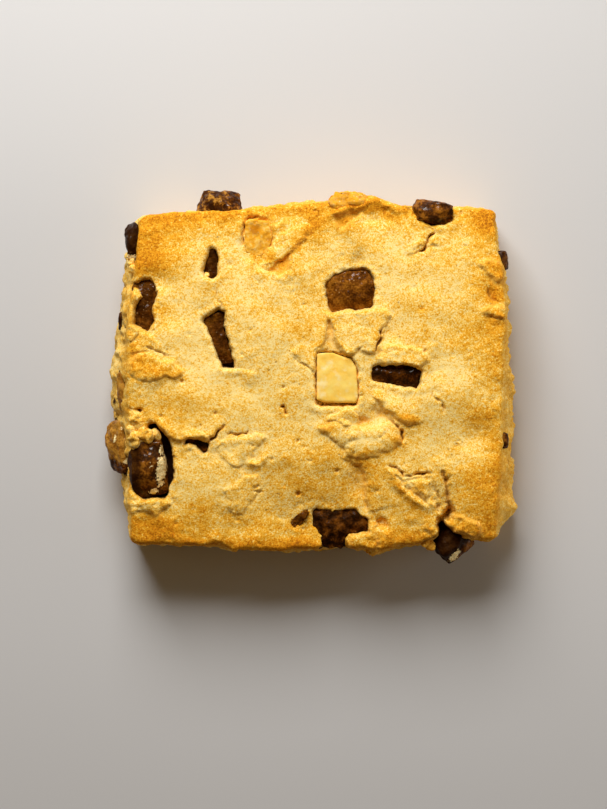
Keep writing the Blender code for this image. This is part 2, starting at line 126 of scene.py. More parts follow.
# Patches that stand over the crust round them, or under it: (height, width of the edge, outline)
PLATES = (
    # the browned flake at the left edge, and the finger of dough above it
    (0.6, 0.9, (
        (-36.9, 2.5), (-36.1, 3.8), (-34.4, 5), (-32.5, 5), (-30.9, 4), (-29.8, 3.2), (-27.5, 3.4),
        (-25.6, 1.3), (-25.9, 0.4), (-27.5, 0), (-29.8, -0.2), (-32.5, -0.8), (-34.8, -0.4),
        (-36.1, 0.7),
    )),
    (0.8, 0.7, (
        (-38.6, 17.6), (-37.2, 17.9), (-36, 17.4), (-35.2, 16.4), (-35.6, 15), (-35.9, 12.6),
        (-36, 10.6), (-34.6, 9.2), (-36, 7.4), (-38.6, 7),
    )),
    (0.35, 0.9, (
        (-38, 8.6), (-34.6, 8.8), (-31.2, 7), (-29.6, 5.2), (-32, 5.6), (-35, 5.4), (-38, 4.6),
    )),
    # the tongue between the two squares, the hollow beside it, and the flap over the oblong
    (0.75, 0.9, (
        (3, 13), (5, 13.4), (7.6, 13.8), (9.4, 13.6), (10.6, 13.9), (12.8, 13.9), (15.8, 12),
        (14.4, 10.4), (13.9, 8.4), (13.4, 6.4), (12.4, 4.9), (10.6, 5.4), (9.5, 5.7), (8.2, 4.5),
        (6.6, 4.2), (5.7, 5.3), (4.8, 7.2), (4, 9.8), (3.4, 11.4),
    )),
    (-0.9, 2.2, ((3.6, 10.8), (2.2, 7.6), (0.6, 5), (3, 4.4), (6.2, 4.4), (5.2, 7.2))),
    (0.65, 0.8, (
        (13.5, 3.7), (14, 5.8), (15.3, 6.5), (18.3, 6.3), (20.9, 5.6), (22.7, 5.4), (22.9, 3.7),
        (21.4, 2.4), (18.3, 2.4), (15.3, 2.6),
    )),
    # the lobes in front of the squares
    (0.8, 2.3, (
        (1.4, -9.7), (4.5, -9.2), (6, -8.8), (8, -9.8), (10.2, -10.1), (12.2, -10.2), (14.6, -9),
        (16.6, -9.3), (17.9, -11.6), (17.8, -13), (15.5, -14.5), (12.7, -15.3), (10.5, -16.4),
        (7.1, -15.7), (4.8, -13),
    )),
    (0.5, 0.8, ((3.2, -8.3), (4.5, -7), (7.2, -6.5), (9.1, -7), (9.5, -8.1), (9.1, -9.6), (6, -9.4))),
    (-0.35, 0.7, (
        (15.6, -18.4), (17.4, -18.8), (18.6, -20.2), (20.5, -19.8), (23.6, -19.4), (24.5, -21.5),
        (24.9, -24), (25, -25.8), (22, -24.2), (19.4, -22.4), (17.2, -20.6),
    )),
    (0.5, 0.7, (
        (19.6, -20.8), (21.6, -20.4), (23.4, -20.8), (23.6, -23.4), (22.8, -23.8), (20.6, -22.2),
    )),
    # the lips in front of the large milk chunk and by the front chunks
    (0.6, 0.7, (
        (-36.8, -25), (-34, -24.3), (-31.4, -24.5), (-28.7, -24), (-28.4, -25.6), (-30.2, -27),
        (-31.6, -27.9), (-33.4, -27.2), (-36.8, -27),
    )),
    (0.7, 0.7, (
        (26.4, -28.8), (27.6, -28), (30, -27.6), (33, -29), (34, -31.4), (32.4, -32.4), (30.2, -31.6),
        (28, -30.2),
    )),
    (0.5, 0.8, (
        (7.4, -32), (9.4, -31.7), (11.4, -31.2), (12, -29.4), (13.2, -29.2), (12.9, -31.8),
        (13.2, -34.4), (10, -35), (7.2, -34.8),
    )),
    # the hollow below the fold at the browned chunk
    (-0.6, 0.3, ((-8.2, 21.8), (-6.4, 23.2), (-4, 25), (-4.3, 22.8), (-4.9, 20.8), (-6.3, 20.6))),
    # the browned hollow behind the squares
    (-0.6, 0.5, (
        (4.9, 32.6), (5, 31.2), (5.9, 30.1), (7.2, 29.9), (8.2, 30.8), (8.8, 31.8), (10.4, 33.4),
        (7.4, 32.8),
    )),
    # folds at the right edge
    (0.75, 0.7, (
        (33.6, 23.2), (35.4, 24), (37.2, 23.2), (38.8, 22.4), (40.5, 20), (38, 19), (36.4, 19.4),
        (34.8, 20.6),
    )),
    (0.8, 0.7, (
        (33.4, 13.6), (35.4, 14.6), (37.6, 14.3), (40.5, 13.4), (40.5, 11.6), (37.4, 11.6),
        (35.4, 12.2),
    )),
    # crumbly swellings in the front third
    (0.45, 1.2, (
        (-19, -13), (-16.4, -12), (-13, -12.2), (-11.2, -11), (-9.6, -12.4), (-11.4, -14.4),
        (-13.2, -16.8), (-15.4, -17.6), (-18.4, -16.2),
    )),
    (0.4, 1.2, (
        (-13.2, -20), (-11, -19.4), (-10.4, -22), (-12, -25), (-13.4, -27.6), (-16.4, -26.8),
        (-17.6, -23),
    )),
)

# Torn edges of skins and folds: (rise, reach of the lift, points). The left of the line is higher.
SCARPS = (
    # over the browned white chunk: its frame, the skin that laps it, and the facet below
    (0.5, 3, (
        (-14, 27), (-13.8, 29.4), (-13.4, 31.4), (-12.6, 32), (-11.3, 32.1), (-9.8, 31.9), (-7.4, 31.5),
    )),
    (0.6, 3.5, (
        (-1.4, 33), (-4.6, 31.7), (-6.2, 31.2), (-8.2, 30.9), (-8.7, 30.4), (-7.5, 28), (-8.4, 26.5),
        (-9.3, 25.7), (-9.4, 24.9), (-9.2, 23.6), (-9.6, 22.7), (-8.5, 21.4),
    )),
    (0.3, 2.5, ((-8.8, 21.6), (-6.3, 23.3), (-4, 25.1), (-2.1, 27), (-1, 28.3), (0.4, 30))),
    (0.4, 1.6, (
        (-1.8, 30.3), (-4, 29.5), (-6.1, 28.8), (-7.2, 27.9), (-7.4, 27.1), (-9.1, 26.5), (-9.5, 25.4),
        (-9.8, 23.8),
    )),
    (0.6, 6, (
        (-3.7, 26), (-4.2, 23.4), (-4.6, 21.4), (-6.4, 20.6), (-8.5, 21.4), (-11.5, 22.8),
        (-14.6, 23.6),
    )),
    # the lobe right of the squares, and the fold that runs from the islands to the front edge
    (0.9, 5, (
        (11.4, -2.8), (12.4, -4.2), (13.7, -5.7), (15.3, -6.8), (16.1, -8.1), (17.9, -8.9),
        (20.4, -9.4), (22.6, -8.8),
    )),
    (0.9, 4.5, (
        (5, -15), (7.2, -16.6), (9.6, -18.1), (10.5, -20.4), (10.8, -24.4), (10.9, -27), (11.8, -28.6),
    )),
    (1, 1.6, ((15.6, -17.6), (16.6, -19.6), (18.6, -21.6), (21, -23.6), (23.6, -25.6), (25.4, -26.6))),
    # the upper lip of the long tear
    (0.8, 4, (
        (-33.6, -8), (-32, -8.8), (-31.2, -10), (-29, -11.3), (-27.5, -12.3), (-25.6, -12.3),
        (-22.8, -12.1), (-20.8, -12.4), (-19, -10.8), (-17, -9.6),
    )),
    # low steps
    (0.35, 3, ((-10.4, 0.4), (-12, 1.3), (-14.6, 1.7), (-17, 1.5), (-20.4, 1.9))),
    (0.35, 2.5, ((-4.4, 5.2), (-3.9, 4.6), (-2, 3.2), (-0.5, 1.9), (0.7, 0.6))),
    (0.35, 2, ((19, 24.4), (22, 26.2), (26, 26))),
    (0.3, 2, ((24, -16.8), (25.8, -18.4), (26.6, -20.4))),
    (0.4, 1.6, ((22.6, -27.2), (22.5, -30), (24.6, -32.4))),
    (0.3, 2.2, ((-11, -17.3), (-12.6, -16.5), (-14.4, -17.4))),
)

# Cracks and furrows: (depth, half width, points)
CRACKS = (
    # from the chunk at the back edge
    (1.6, 0.19, (
        (23.4, 30.2), (24.6, 29.5), (24.5, 28.9), (24.1, 28.4), (23.4, 27.9), (23.3, 27.2),
        (22.7, 26.6), (22.6, 25.6), (21.4, 25.2), (19.8, 24.4),
    )),
    # between the squares and the oblong
    (1.2, 0.3, ((14.6, 10.4), (13.6, 9), (13.7, 7.6), (13, 6.4), (12.7, 5.2), (12.4, 4.2))),
    (0.35, 0.3, ((10.6, 6), (9.6, 5.8), (8.6, 5.4))),
    (0.35, 0.18, ((-4.2, 4.6), (-2.6, 2.9), (-1.2, 2.4), (0.4, 0.6))),
    # round the lobes
    (1.1, 0.27, ((15.3, -8.4), (16.6, -9.4), (17.9, -10.7), (18.3, -12), (18.2, -13.2))),
    (0.8, 0.2, ((23.9, -2), (24, -3.6), (24.8, -4.2), (25.8, -5), (26.3, -6.2), (26.1, -7.2))),
    (0.6, 0.28, ((8.4, -6.9), (9.4, -7.4), (9.6, -8.8))),
    (0.35, 0.3, ((14.2, -10.6), (14.6, -11.4), (13.6, -11.9), (12.8, -11.4))),
    # the torn flake in the front right
    (1.3, 0.24, ((15.2, -17.4), (16, -17.9), (16.9, -18), (17.3, -18.8), (18, -19.2), (18.3, -20.4))),
    (1.2, 0.22, (
        (18.2, -20.3), (18.9, -19.6), (20, -19.7), (20.9, -19.2), (22, -19.4), (23.2, -19),
        (24.4, -19.4),
    )),
    (0.45, 0.3, ((18.5, -20.6), (19.8, -22.4), (22, -24.1), (24.5, -25.8))),
    (0.6, 0.2, ((24.6, -21), (24.4, -22.6), (25.3, -24.2), (25, -26.4), (25.8, -27.6))),
    (0.75, 0.5, (
        (25.7, -17.8), (26.6, -19.6), (27.2, -22.6), (27.4, -26), (27.6, -27.6), (26.2, -29.2),
    )),
    (0.5, 0.2, ((25.4, -17.6), (26.2, -19.4))),
    # on from the long tear
    (1.2, 0.26, (
        (-21, -13.3), (-20.2, -12.2), (-19.4, -11.9), (-18.8, -10.6), (-18, -10.2), (-17.2, -9.5),
    )),
    (0.8, 0.2, (
        (-17.4, -11.8), (-16.4, -11.2), (-15.1, -11.5), (-14, -11.1), (-13, -11.4), (-12.6, -10.2),
    )),
    (0.9, 0.4, ((-37.2, -6.2), (-35.6, -6.9), (-33.8, -6.4))),
    # between the milk slivers
    (0.6, 0.17, ((-19.2, 19.4), (-19.3, 17.4), (-18.9, 15.9), (-18.2, 14.6), (-18, 13.2))),
    # over the milk chunk at the left edge
    (1.3, 0.4, ((-39, 18), (-38, 18.6), (-36.6, 18.9), (-34.2, 18.6))),
    (0.5, 0.3, ((-33.4, 6.2), (-31.8, 5.6), (-30.2, 4.9), (-28.6, 4))),
    # along the browned white chunk
    (0.8, 0.24, (
        (-13.9, 25.6), (-13.9, 27.4), (-13.7, 29.6), (-13.3, 31.2), (-12.4, 32), (-11.2, 32.1),
        (-9.4, 31.8),
    )),
    # elsewhere
    (1.4, 0.28, ((-6, -5.6), (-5.4, -6.5), (-5, -7.5))),
    (0.7, 0.3, ((35, 18.4), (35.4, 17), (36.2, 15.6), (37.4, 14.8))),
    (0.7, 0.3, ((35.2, 12.2), (37.6, 11.6), (40, 11.4))),
    (0.5, 0.25, ((24.9, -22.2), (25.6, -24.6), (25.4, -27))),
    (0.7, 0.35, ((21.4, -33.6), (25.4, -31.8))),
    (0.4, 0.25, ((-10.6, -21.4), (-11.8, -22.6), (-9.6, -23.2))),
)

# Folds that stand up as a welt: (height, half width, points)
WELTS = (
    (0.8, 0.7, (
        (3.6, 31.6), (4.4, 32.9), (6.6, 33.5), (8.6, 34), (10.6, 34.6), (13, 35), (15.6, 34.5),
        (17.4, 33.2), (18.2, 31.6),
    )),
    (0.7, 0.75, ((15.2, -18), (15.9, -19.5), (17.4, -21.7), (19.6, -23.8), (22.2, -26), (25, -27))),
    (0.5, 0.4, ((12.6, 4.3), (14, 3.1), (15.4, 2.4))),
    (0.5, 0.8, ((-14, -17), (-11, -16.9), (-8, -15.6))),
    (0.3, 1, ((24.6, 7), (23, 3.6), (23.6, 0.6), (26, -1.4))),
    (0.4, 1.5, ((-9.8, 22.4), (-7.5, 24.5), (-5.1, 26.4), (-3.2, 28.2), (-1.4, 30.2))),
)

# Pin holes and small pits: (x, y, radius, depth)
PITS = (
    (-5.7, -2, 0.3, 0.5), (-2.8, -12.7, 0.35, 0.5), (-2.8, -23.3, 0.4, 0.9), (5, -18.7, 0.4, 0.6),
    (-22.5, 32.8, 0.35, 0.8), (-16.4, 22.7, 0.5, 0.4), (22.5, 5.3, 0.4, 0.8), (-26, -0.8, 0.35, 0.7),
    (-19.3, -7.2, 0.35, 0.5), (-30.2, -7.8, 0.3, 0.4), (21.9, 13.8, 0.35, 0.5), (30, 33, 0.4, 0.5),
    (-12.4, 9.4, 0.3, 0.4), (6, 24.4, 0.3, 0.4), (29, -13.6, 0.4, 0.4), (-8, -16.4, 0.3, 0.4),
    (20.4, 18, 0.3, 0.4), (-1.6, 14.6, 0.3, 0.4), (-24.6, 8.6, 0.3, 0.4), (31.6, 5, 0.3, 0.4),
    (0.6, 33.4, 0.35, 0.5), (-14, 4.6, 0.3, 0.4), (-27.4, -29.2, 0.35, 0.5),
)

# Lumps that stand out of the crust or a wall: (x, y, z, radius, height)
LUMPS = (
    (15.2, -32.6, 17, 1.7, 0.9),
    (8.8, -32.8, 17, 1.8, 0.5),
    (12.0, -35.2, 14, 1.4, 0.9),
    (23.4, -34.6, 13, 1.8, 1.1),
    (-19.4, -32.4, 17, 1.2, 0.7),
    (40.6, 18.8, 9, 1.3, 0.7),
    (41.0, -2.8, 8, 2.0, 0.6),
    (40.0, 18.5, 12, 0.9, 0.8),
    (40.2, 10.7, 9, 1.4, 0.6),
    (-39.0, 23.4, 8, 1.6, 0.6),
    (40.4, -24.6, 13, 1.0, 0.6),
    (40.2, -20.6, 12, 1.3, 0.6),
    (39.9, -16.4, 13.4, 1.0, 0.5),
    (40.2, -8.4, 12, 1.2, 0.6),
    (39.8, -5.2, 13.6, 0.9, 0.5),
    (39.2, -29.6, 13.6, 1.2, 0.6),
    (40.0, 2.2, 13, 1.2, 0.5),
    (-40.4, 5.6, 12, 1.3, 0.6),
    (-40.6, 0.4, 11, 1.2, 0.6),
    (-40.2, 13.6, 12, 1.0, 0.5),
)

# The outline of the black oblong, which its opening shares
OBLONG = (
    (12.2, 2.1), (12.7, 2.5), (14.8, 2.3), (17.9, 2.6), (20.1, 2.2), (22, 1.3), (21.8, -0.3),
    (21.2, -2.2), (18.3, -1.8), (16.6, -1.4), (14, -0.9), (12.3, -0.5),
)

# Openings torn in the crust over the chocolate: (depth, cocoa stain and painted shade in it, outline)
OPENINGS = (
    (3.2, 0.5, (
        (2.8, 18.2), (3, 19.3), (4.2, 20.2), (7.2, 21.4), (10.4, 21.9), (11.6, 21.2), (12.4, 19.6),
        (12.5, 17), (12.4, 14.3), (11, 13.8), (8.8, 13.4), (7.4, 13.9), (5, 13.2), (3.9, 12.9),
        (3.5, 14.4), (3, 16.2),
    )),
    (2.2, 0.3, (
        (0.8, 5), (2.4, 5.2), (4.1, 5.2), (6.2, 4.4), (8, 4), (9, 2), (9.3, -1.2), (9.5, -4),
        (9.1, -5.7), (5, -5.8), (2.4, -5.8), (0.7, -5.6), (0.6, 0),
    )),
    (3.2, 0.5, (*OBLONG, (12, 0.8))),
    (3, 0.5, (
        (-22, 11.7), (-20.8, 12.5), (-18.5, 13.8), (-17.3, 13.2), (-17.6, 10.6), (-16.6, 7.2),
        (-15.6, 3.2), (-15.4, 1.7), (-17.9, 1.8), (-19, 4.6), (-20.5, 8.4), (-21.1, 10.2), (-22, 11),
    )),
    (2.6, 0.5, (
        (-20.4, 25.9), (-19.3, 25.6), (-18.7, 24.2), (-18.8, 22.2), (-19, 20.1), (-20, 19.7),
        (-21.6, 20.2), (-21.9, 21.6), (-21.2, 23.6),
    )),
    (3.2, 0.6, (
        (-35.6, 18.6), (-34.4, 19.4), (-32.6, 19.6), (-31.5, 18.6), (-31.2, 16.6), (-31.6, 14.8),
        (-32.3, 13.2), (-31.6, 12.2), (-31.7, 11), (-33, 9.2), (-34.4, 10.1), (-35.7, 10.8),
        (-35.5, 12.8), (-35.3, 14.6), (-34, 16), (-34.6, 17.2),
    )),
    (5.5, 0.9, (
        (-32.8, -10.6), (-32.7, -9.2), (-31.3, -9.2), (-30.4, -10.6), (-29.3, -11.5), (-28.6, -12.9),
        (-28, -16), (-27.8, -20.2), (-28.7, -21.9), (-28.6, -23.2), (-29.3, -24.3), (-31.6, -24.1),
        (-34.3, -24.5), (-35.2, -23.4), (-35.9, -21.8), (-36, -18.6), (-35.8, -15.6), (-34.9, -13.6),
        (-33.6, -12.4),
    )),
    (2.4, 0.3, (
        (-35.4, -23.2), (-37, -22.4), (-39.4, -21.4), (-39.4, -17.4), (-36.8, -15.6), (-35.2, -14.6),
    )),
    (2.6, 0.7, (
        (-25.5, -12.6), (-24.8, -12.2), (-22.9, -12.3), (-20.9, -13), (-20.5, -13.6), (-20.9, -14.8),
        (-21.7, -15.1), (-22.5, -14.6), (-23.3, -13.5), (-24.6, -13.3), (-25.5, -13.6),
    )),
    (3.2, 0.6, (
        (0.3, -26.7), (1.1, -26.4), (3, -26.9), (4.1, -27.3), (5.7, -26.6), (8.8, -26.6), (9.6, -27.7),
        (11.3, -28.7), (11.3, -31), (9.1, -31.3), (7.2, -31.5), (6.6, -32.5), (7.2, -37), (2.2, -37),
        (2.2, -32.5), (2.4, -31.7), (1.4, -30.6), (0.3, -29.4),
    )),
    (1.2, 0.5, (
        (-4.2, -29.2), (-3.6, -28.4), (-2.4, -28), (-1.8, -27), (-0.9, -26.6), (-1, -27.4),
        (-2.2, -28.5), (-2.3, -29.3), (-3, -29.6), (-3.3, -30.3), (-4, -29.9),
    )),
    (1, 0, ((12.9, -28.8), (13.9, -28.2), (14.8, -28.6), (15.3, -29.8), (14.6, -30.6), (13.6, -30.2))),
    (0.35, 0, (
        (-13.5, 28.6), (-13.2, 31.2), (-12.3, 31.7), (-9.2, 31.5), (-10, 30.2), (-10.8, 29.4),
        (-11.6, 28.2),
    )),
    (2.2, 0.3, (
        (19.2, 34.2), (20.6, 32.9), (22.6, 31), (24, 30.4), (27.6, 30.8), (28.4, 31.8), (27.6, 33.9),
        (27.4, 38), (19.2, 38),
    )),
    (5, 0.9, (
        (26.2, -28.6), (26.8, -29.4), (28, -30.6), (30.4, -31.8), (29.6, -33), (29.6, -38), (24.8, -38),
        (25, -33.4), (25.7, -31.2), (25.4, -29.8),
    )),
    (1.5, 0.27, (
        (27.9, -25.4), (28.5, -26.8), (28.2, -28.4), (26.8, -29.6), (25.3, -30.2), (25.2, -28.2),
        (26.8, -26.8),
    )),
)

# Where the oven browned the crust, and patches of painted shade: (x, y, half length, half width,
# turn in degrees, how much), with all of it eased a little
BROWNED_AND_SHADE_STRENGTH = 0.75
BROWNED_AND_PAINTED_SHADE = (
    (-32, 28, 6, 6, 0, 0.5),
    (-33, 23, 3, 2.4, 0, 0.4),
    (-22, 32.6, 14, 1.8, 2, 0.35),
    (-3, 33.6, 6, 1.3, 5, 0.4),
    (0.8, 31.2, 1.8, 1.8, 0, 0.4),
    (1.4, 27.2, 1.6, 1.4, 0, 0.3),
    (-1.6, 28, 3.4, 1.2, 52, 0.4),
    (-10.6, 25.4, 1.5, 2.2, 0, 0.45),
    (-8.4, 24.0, 0.8, 0.9, 0, 0.45),
    (-10.6, 28.4, 2.4, 3.0, 0, 0.55),
    (-11.6, 30.6, 1.4, 0.8, 0, 0.5),
    (-5.8, 22.2, 1.7, 1.4, 20, 0.5),
    # painted shade: a brown line where a low step's shadow falls
    (-4.4, 25.0, 5.0, 0.5, 44, 0.6),
    (7.4, 35.6, 4.6, 1.4, -4, 0.8),
    (6.6, 31.4, 1.9, 1.6, 0, 0.5),
    (10.6, 33.5, 2.8, 0.6, 4, 0.45),
    (15.4, 32.5, 3.0, 0.8, -36, 0.5),
    (19.0, 33.6, 2.6, 1.4, 0, 0.4),
    (34.8, 31.5, 3.2, 3.8, 0, 0.6),
    (37.0, 21.8, 1.6, 2.6, 20, 0.15),
    (36.8, 17.0, 1.8, 3.6, 0, 0.25),
    (37.4, 11.2, 2.8, 0.9, -8, 0.35),
    (36.8, 6, 2.6, 5.5, 0, 0.15),
    (35.0, 9.6, 3.4, 1.8, 0, 0.2),
    (36.6, -7.2, 2.8, 2.0, 0, 0.2),
    (32.5, -7.5, 3.6, 2.6, 0, 0.25),
    (37.2, -15, 2.2, 5, 0, 0.15),
    (36.4, -23.5, 3.2, 6.5, 0, 0.22),
    (31.6, -22, 2.6, 4.5, 0, 0.22),
    (33.5, -30.5, 4.5, 2.4, 0, 0.25),
    (-32.6, 2.6, 4.0, 1.8, -8, 0.4),
    (-29.0, 0.9, 3.6, 1.1, -6, 0.36),
    (-35.8, 5.6, 1.2, 1.6, 0, 0.35),
    (-36.8, 16.8, 1.2, 1.6, 0, 0.35),
    (-29.6, 13.4, 2.2, 1.8, 0, 0.3),
    (-9.8, 13.6, 3.2, 1.2, 10, 0.2),
    (-3.0, 9.4, 2.0, 1.4, 0, 0.2),
    (22.8, 8.4, 1.0, 1.8, 0, 0.3),
    (21.7, 13.8, 0.7, 0.7, 0, 0.4),
    (19.0, -8.2, 2.4, 0.9, -12, 0.4),
    (17.0, -13.2, 1.5, 1.6, 0, 0.5),
    (13.2, -15.2, 3.2, 0.8, 0, 0.3),
    # painted shade in the valley below the lobes
    (10.0, -17.0, 4.5, 1.4, -20, 0.3),
    (7.0, -10.6, 2.2, 1.4, 0, 0.15),
    (3.2, -10.0, 1.8, 1.2, 0, 0.4),
    (21.6, -22.0, 1.4, 1.4, 0, 0.3),
    (17.0, -21.6, 3.4, 0.7, -50, 0.35),
    (21.4, -26.6, 2.6, 0.7, -40, 0.35),
    (-31, -30, 6, 3, 0, 0.5),
    (-22, -27, 3, 2.4, 0, 0.25),
    (-14, -33.4, 20, 1.2, -2, 0.3),
    (-6.5, -30.4, 4.5, 1.8, 0, 0.25),
    (-4, -33.6, 5, 1.6, 0, 0.25),
    (20, -32, 5, 1.6, 0, 0.25),
    (14, -33.8, 3, 1.2, 0, 0.2),
    (0.3, -15.4, 2.8, 1.4, 0, 0.15),
    # painted shade: the front third, the slope in its middle, the fold by the front chunk, a slope at
    # the left
    (0, -42, 70, 22, 0, 0.2),
    (1.5, -21.0, 12, 4, 0, 0.15),
    (13.0, -27.5, 1.6, 3.0, 0, 0.15),
    (-29, -6.5, 7, 4, 0, 0.22),
    (-27, 26, 6, 4, 0, 0.12),
    (30, 13, 8, 8, 0, 0.14),
    # and where it is paler: painted light on the first three slopes, two pale lips, then paler patches
    (29, 0.5, 6, 4, 0, -0.15),
    (9, -11, 6, 3, 0, -0.15),
    (20, -21, 4, 3, 0, -0.15),
    (-32.5, -26, 3.5, 1.3, 0, -0.3),
    (-6, -31.5, 5, 1.4, 0, -0.2),
    (-20, 19.5, 7, 3, 0, -0.1),
    (-22, 4, 6, 6, 0, -0.12),
    (-10, -1, 8, 5, 0, -0.08),
    (-14, 12, 5, 6, 0, -0.08),
)


def along(points, spot):
    """The value at a spot along a side, from its few named points."""
    return np.interp(spot, [p[0] for p in points], [p[1] for p in points])


def clamped(value):
    """The value, held between 0 and 1."""
    return np.clip(value, 0, 1)


def bell(away, width):
    """1 at no distance, and falling off evenly to both sides over about this width."""
    return np.exp(-((away / width) ** 2))


def rolled(up):
    """The rise of a lip that has rolled over: steep at its foot, level from 1 on."""
    up = clamped(up)
    return np.sqrt(1 - (1 - up) ** 2)


def noise_at(x, y, z, scale, seed):
    """Smooth noise from about -1 to 1 whose lumps are about scale millimetres across."""
    spots = np.stack((np.ravel(x), np.ravel(y), np.ravel(z)), axis=1) / scale + seed * 17.3
    return np.reshape([noise.noise(spot) for spot in spots.tolist()], np.shape(x))


def line_distance(x, y, points):
    """Distance to a line, negative to its right, and how far along it the nearest point is, 0 to 1."""
    best = np.full(x.shape, np.inf)
    lean = np.zeros(x.shape)
    share = np.zeros(x.shape)
    pieces = len(points) - 1
    for i in range(pieces):
        (ax, ay), (bx, by) = points[i], points[i + 1]
        dx, dy = bx - ax, by - ay
        length = np.hypot(dx, dy)
        t = clamped(((x - ax) * dx + (y - ay) * dy) / length**2)
        away = np.hypot(x - ax - t * dx, y - ay - t * dy)
        across = (dx * (y - ay) - dy * (x - ax)) / length
        # at a bend two pieces can be equally near, and the one that it lies more beside counts
        nearer = (away < best - 1e-9) | ((away < best + 1e-9) & (np.abs(across) > np.abs(lean)))
        best = np.where(nearer, away, best)
        lean = np.where(nearer, across, lean)
        share = np.where(nearer, (i + t) / pieces, share)
    return np.where(lean < 0, -best, best), share


def inside_by(x, y, outline):
    """How far inside an outline a point lies, negative outside it."""
    ring = (*outline, outline[0])
    side, _ = line_distance(x, y, ring)
    within = np.zeros(x.shape, bool)
    for (ax, ay), (bx, by) in zip(ring, ring[1:]):
        if ay != by:
            crosses = (ay > y) != (by > y)
            within ^= crosses & (x < ax + (y - ay) * (bx - ax) / (by - ay))
    return np.where(within, np.abs(side), -np.abs(side))


def end_taper(share):
    """Fades a feature out over the last fifth of its line at each end."""
    return clamped(5 * np.minimum(share, 1 - share))


def spot_weight(x, y, spot):
    """The bell-shaped weight of a spot (x, y, half length, half width, turn, ...)."""
    cx, cy, length, width, turn = spot[:5]
    c, s = np.cos(np.radians(turn)), np.sin(np.radians(turn))
    a = ((x - cx) * c + (y - cy) * s) / length
    b = ((y - cy) * c - (x - cx) * s) / width
    return np.exp(-a * a - b * b)


def softened(field, radius):
    """A field of the crust's grid, averaged over about that many millimetres."""
    reach = math.ceil(2.5 * radius / GRID_STEP)
    steps = np.arange(-reach, reach + 1) * GRID_STEP / radius
    weights = np.exp(-steps * steps)
    weights /= weights.sum()
    for axis in (0, 1):
        padded = np.pad(field, [(reach, reach) if i == axis else (0, 0) for i in (0, 1)], mode="edge")
        field = np.apply_along_axis(np.convolve, axis, padded, weights, "valid")
    return field


# The crust is worked out on an even grid, a sixth of a millimetre fine, seen from above.
GRID_STEP = 0.16
GRID_X = np.arange(-43.5, 43.6, GRID_STEP)
GRID_Y = np.arange(-39.5, 39.6, GRID_STEP)
gx, gy = np.meshgrid(GRID_X, GRID_Y)


def crust_noise(scale, seed):
    """The smooth noise of noise_at() over the whole grid."""
    return noise_at(gx, gy, np.zeros(gx.shape), scale, seed)


# the crust waves, sinks towards its sides and ends, and falls away to the front
crust = 0.5 * crust_noise(13, 1) + 0.3 * crust_noise(5.5, 2)
crust -= 0.9 * (gx / CRUST_HALF_WIDTH) ** 4 + 1.2 * (gy / CRUST_HALF_DEPTH) ** 4
crust -= 0.03 * np.clip(-8 - gy, 0, None)
for swell in SWELLS:
    crust += SWELL_STRENGTH * swell[5] * spot_weight(gx, gy, swell)

# torn edges wander, broadly and finely, and raw crumb shows along them: this much at most, over
# this width
RAWEST = 0.8
RAW_WIDTH = 0.4
fine_x = 0.3 * crust_noise(1.4, 3) + 0.06 * crust_noise(0.6, 13)
fine_y = 0.3 * crust_noise(1.4, 4) + 0.06 * crust_noise(0.6, 14)
tx = gx + fine_x + 0.75 * crust_noise(3.2, 15)
ty = gy + fine_y + 0.75 * crust_noise(3.2, 16)
crumbly = np.zeros(gx.shape)
creased = np.zeros(gx.shape)  # where the crust is lumpy round a tear
for rise, reach, points in SCARPS:
    side, share = line_distance(tx, ty, points)
    taper = end_taper(share)
    behind = 0.6 * np.exp(-np.clip(side, 0, None) / reach) + 0.4 * bell(side, 0.55 * reach)
    foot = np.where(side < 0, 0.2 * np.exp(side / 0.7), 0)
    crust += rise * taper * (rolled((side + 0.12) / 1.4) * behind - foot)
    crumbly = np.maximum(crumbly, taper * min(rise, RAWEST) * bell(side - 0.1, RAW_WIDTH))
    creased = np.maximum(creased, taper * bell(side, 3.0))
for rise, border, outline in PLATES:
    inner = inside_by(tx, ty, outline)
    crust += rise * rolled(inner / border + 0.15)
    crumbly = np.maximum(crumbly, min(abs(rise), RAWEST) * bell(inner - 0.05, RAW_WIDTH))
    creased = np.maximum(creased, clamped(1 + inner / 2.0))

# cracks and furrows, wide here and narrow there, then pits and welts
# painted shade: cracks, pits and the rims of the openings are painted darker, the deeper the darker
deep = np.zeros(gx.shape)  # how far down a crack
broken = np.clip(0.95 + 0.7 * crust_noise(1.1, 17), 0.45, 1.15)
for depth, half_width, points in CRACKS:
    side, share = line_distance(gx + 1.2 * fine_x, gy + 1.2 * fine_y, points)
    groove = broken * end_taper(share) * bell(side, 0.85 * half_width * broken)
    crust -= depth * groove
    deep = np.maximum(deep, min(depth, 1.0) * groove)
for px, py, radius, depth in PITS:
    hole = np.exp(-(((gx - px) ** 2 + (gy - py) ** 2) / radius**2))
    crust -= depth * hole
    deep = np.maximum(deep, min(0.9 * depth, 0.75) * hole)
for rise, half_width, points in WELTS:
    side, share = line_distance(tx, ty, points)
    crust += rise * end_taper(share) * bell(side, half_width)
    creased = np.maximum(creased, 0.7 * bell(side, 2.5))
for _, _, outline in OPENINGS:
    creased = np.maximum(creased, 0.8 * clamped(1 + inside_by(gx, gy, outline) / 3.0))

# the crust's own grain: soft lumps with creases between them, strongest round the tears and along
# the edges, then fine crumb and pin holes
edges = np.maximum(np.abs(gx) / CRUST_HALF_WIDTH, np.abs(gy) / CRUST_HALF_DEPTH)
by_edge = clamped((edges - 0.8) / 0.2)
rough = clamped(0.22 + 0.6 * creased + 0.5 * by_edge)
rough += 0.25 * crust_noise(8, 20)
crust += rough * (0.55 * np.abs(crust_noise(2.6, 21)) + 0.3 * np.abs(crust_noise(1.2, 22)))
crust += 0.16 * crust_noise(3.4, 25) + (0.05 + 0.06 * rough) * crust_noise(0.55, 23)
holes = crust_noise(1.0, 24)
crust -= 0.25 * clamped((holes - 0.55) / 0.2)
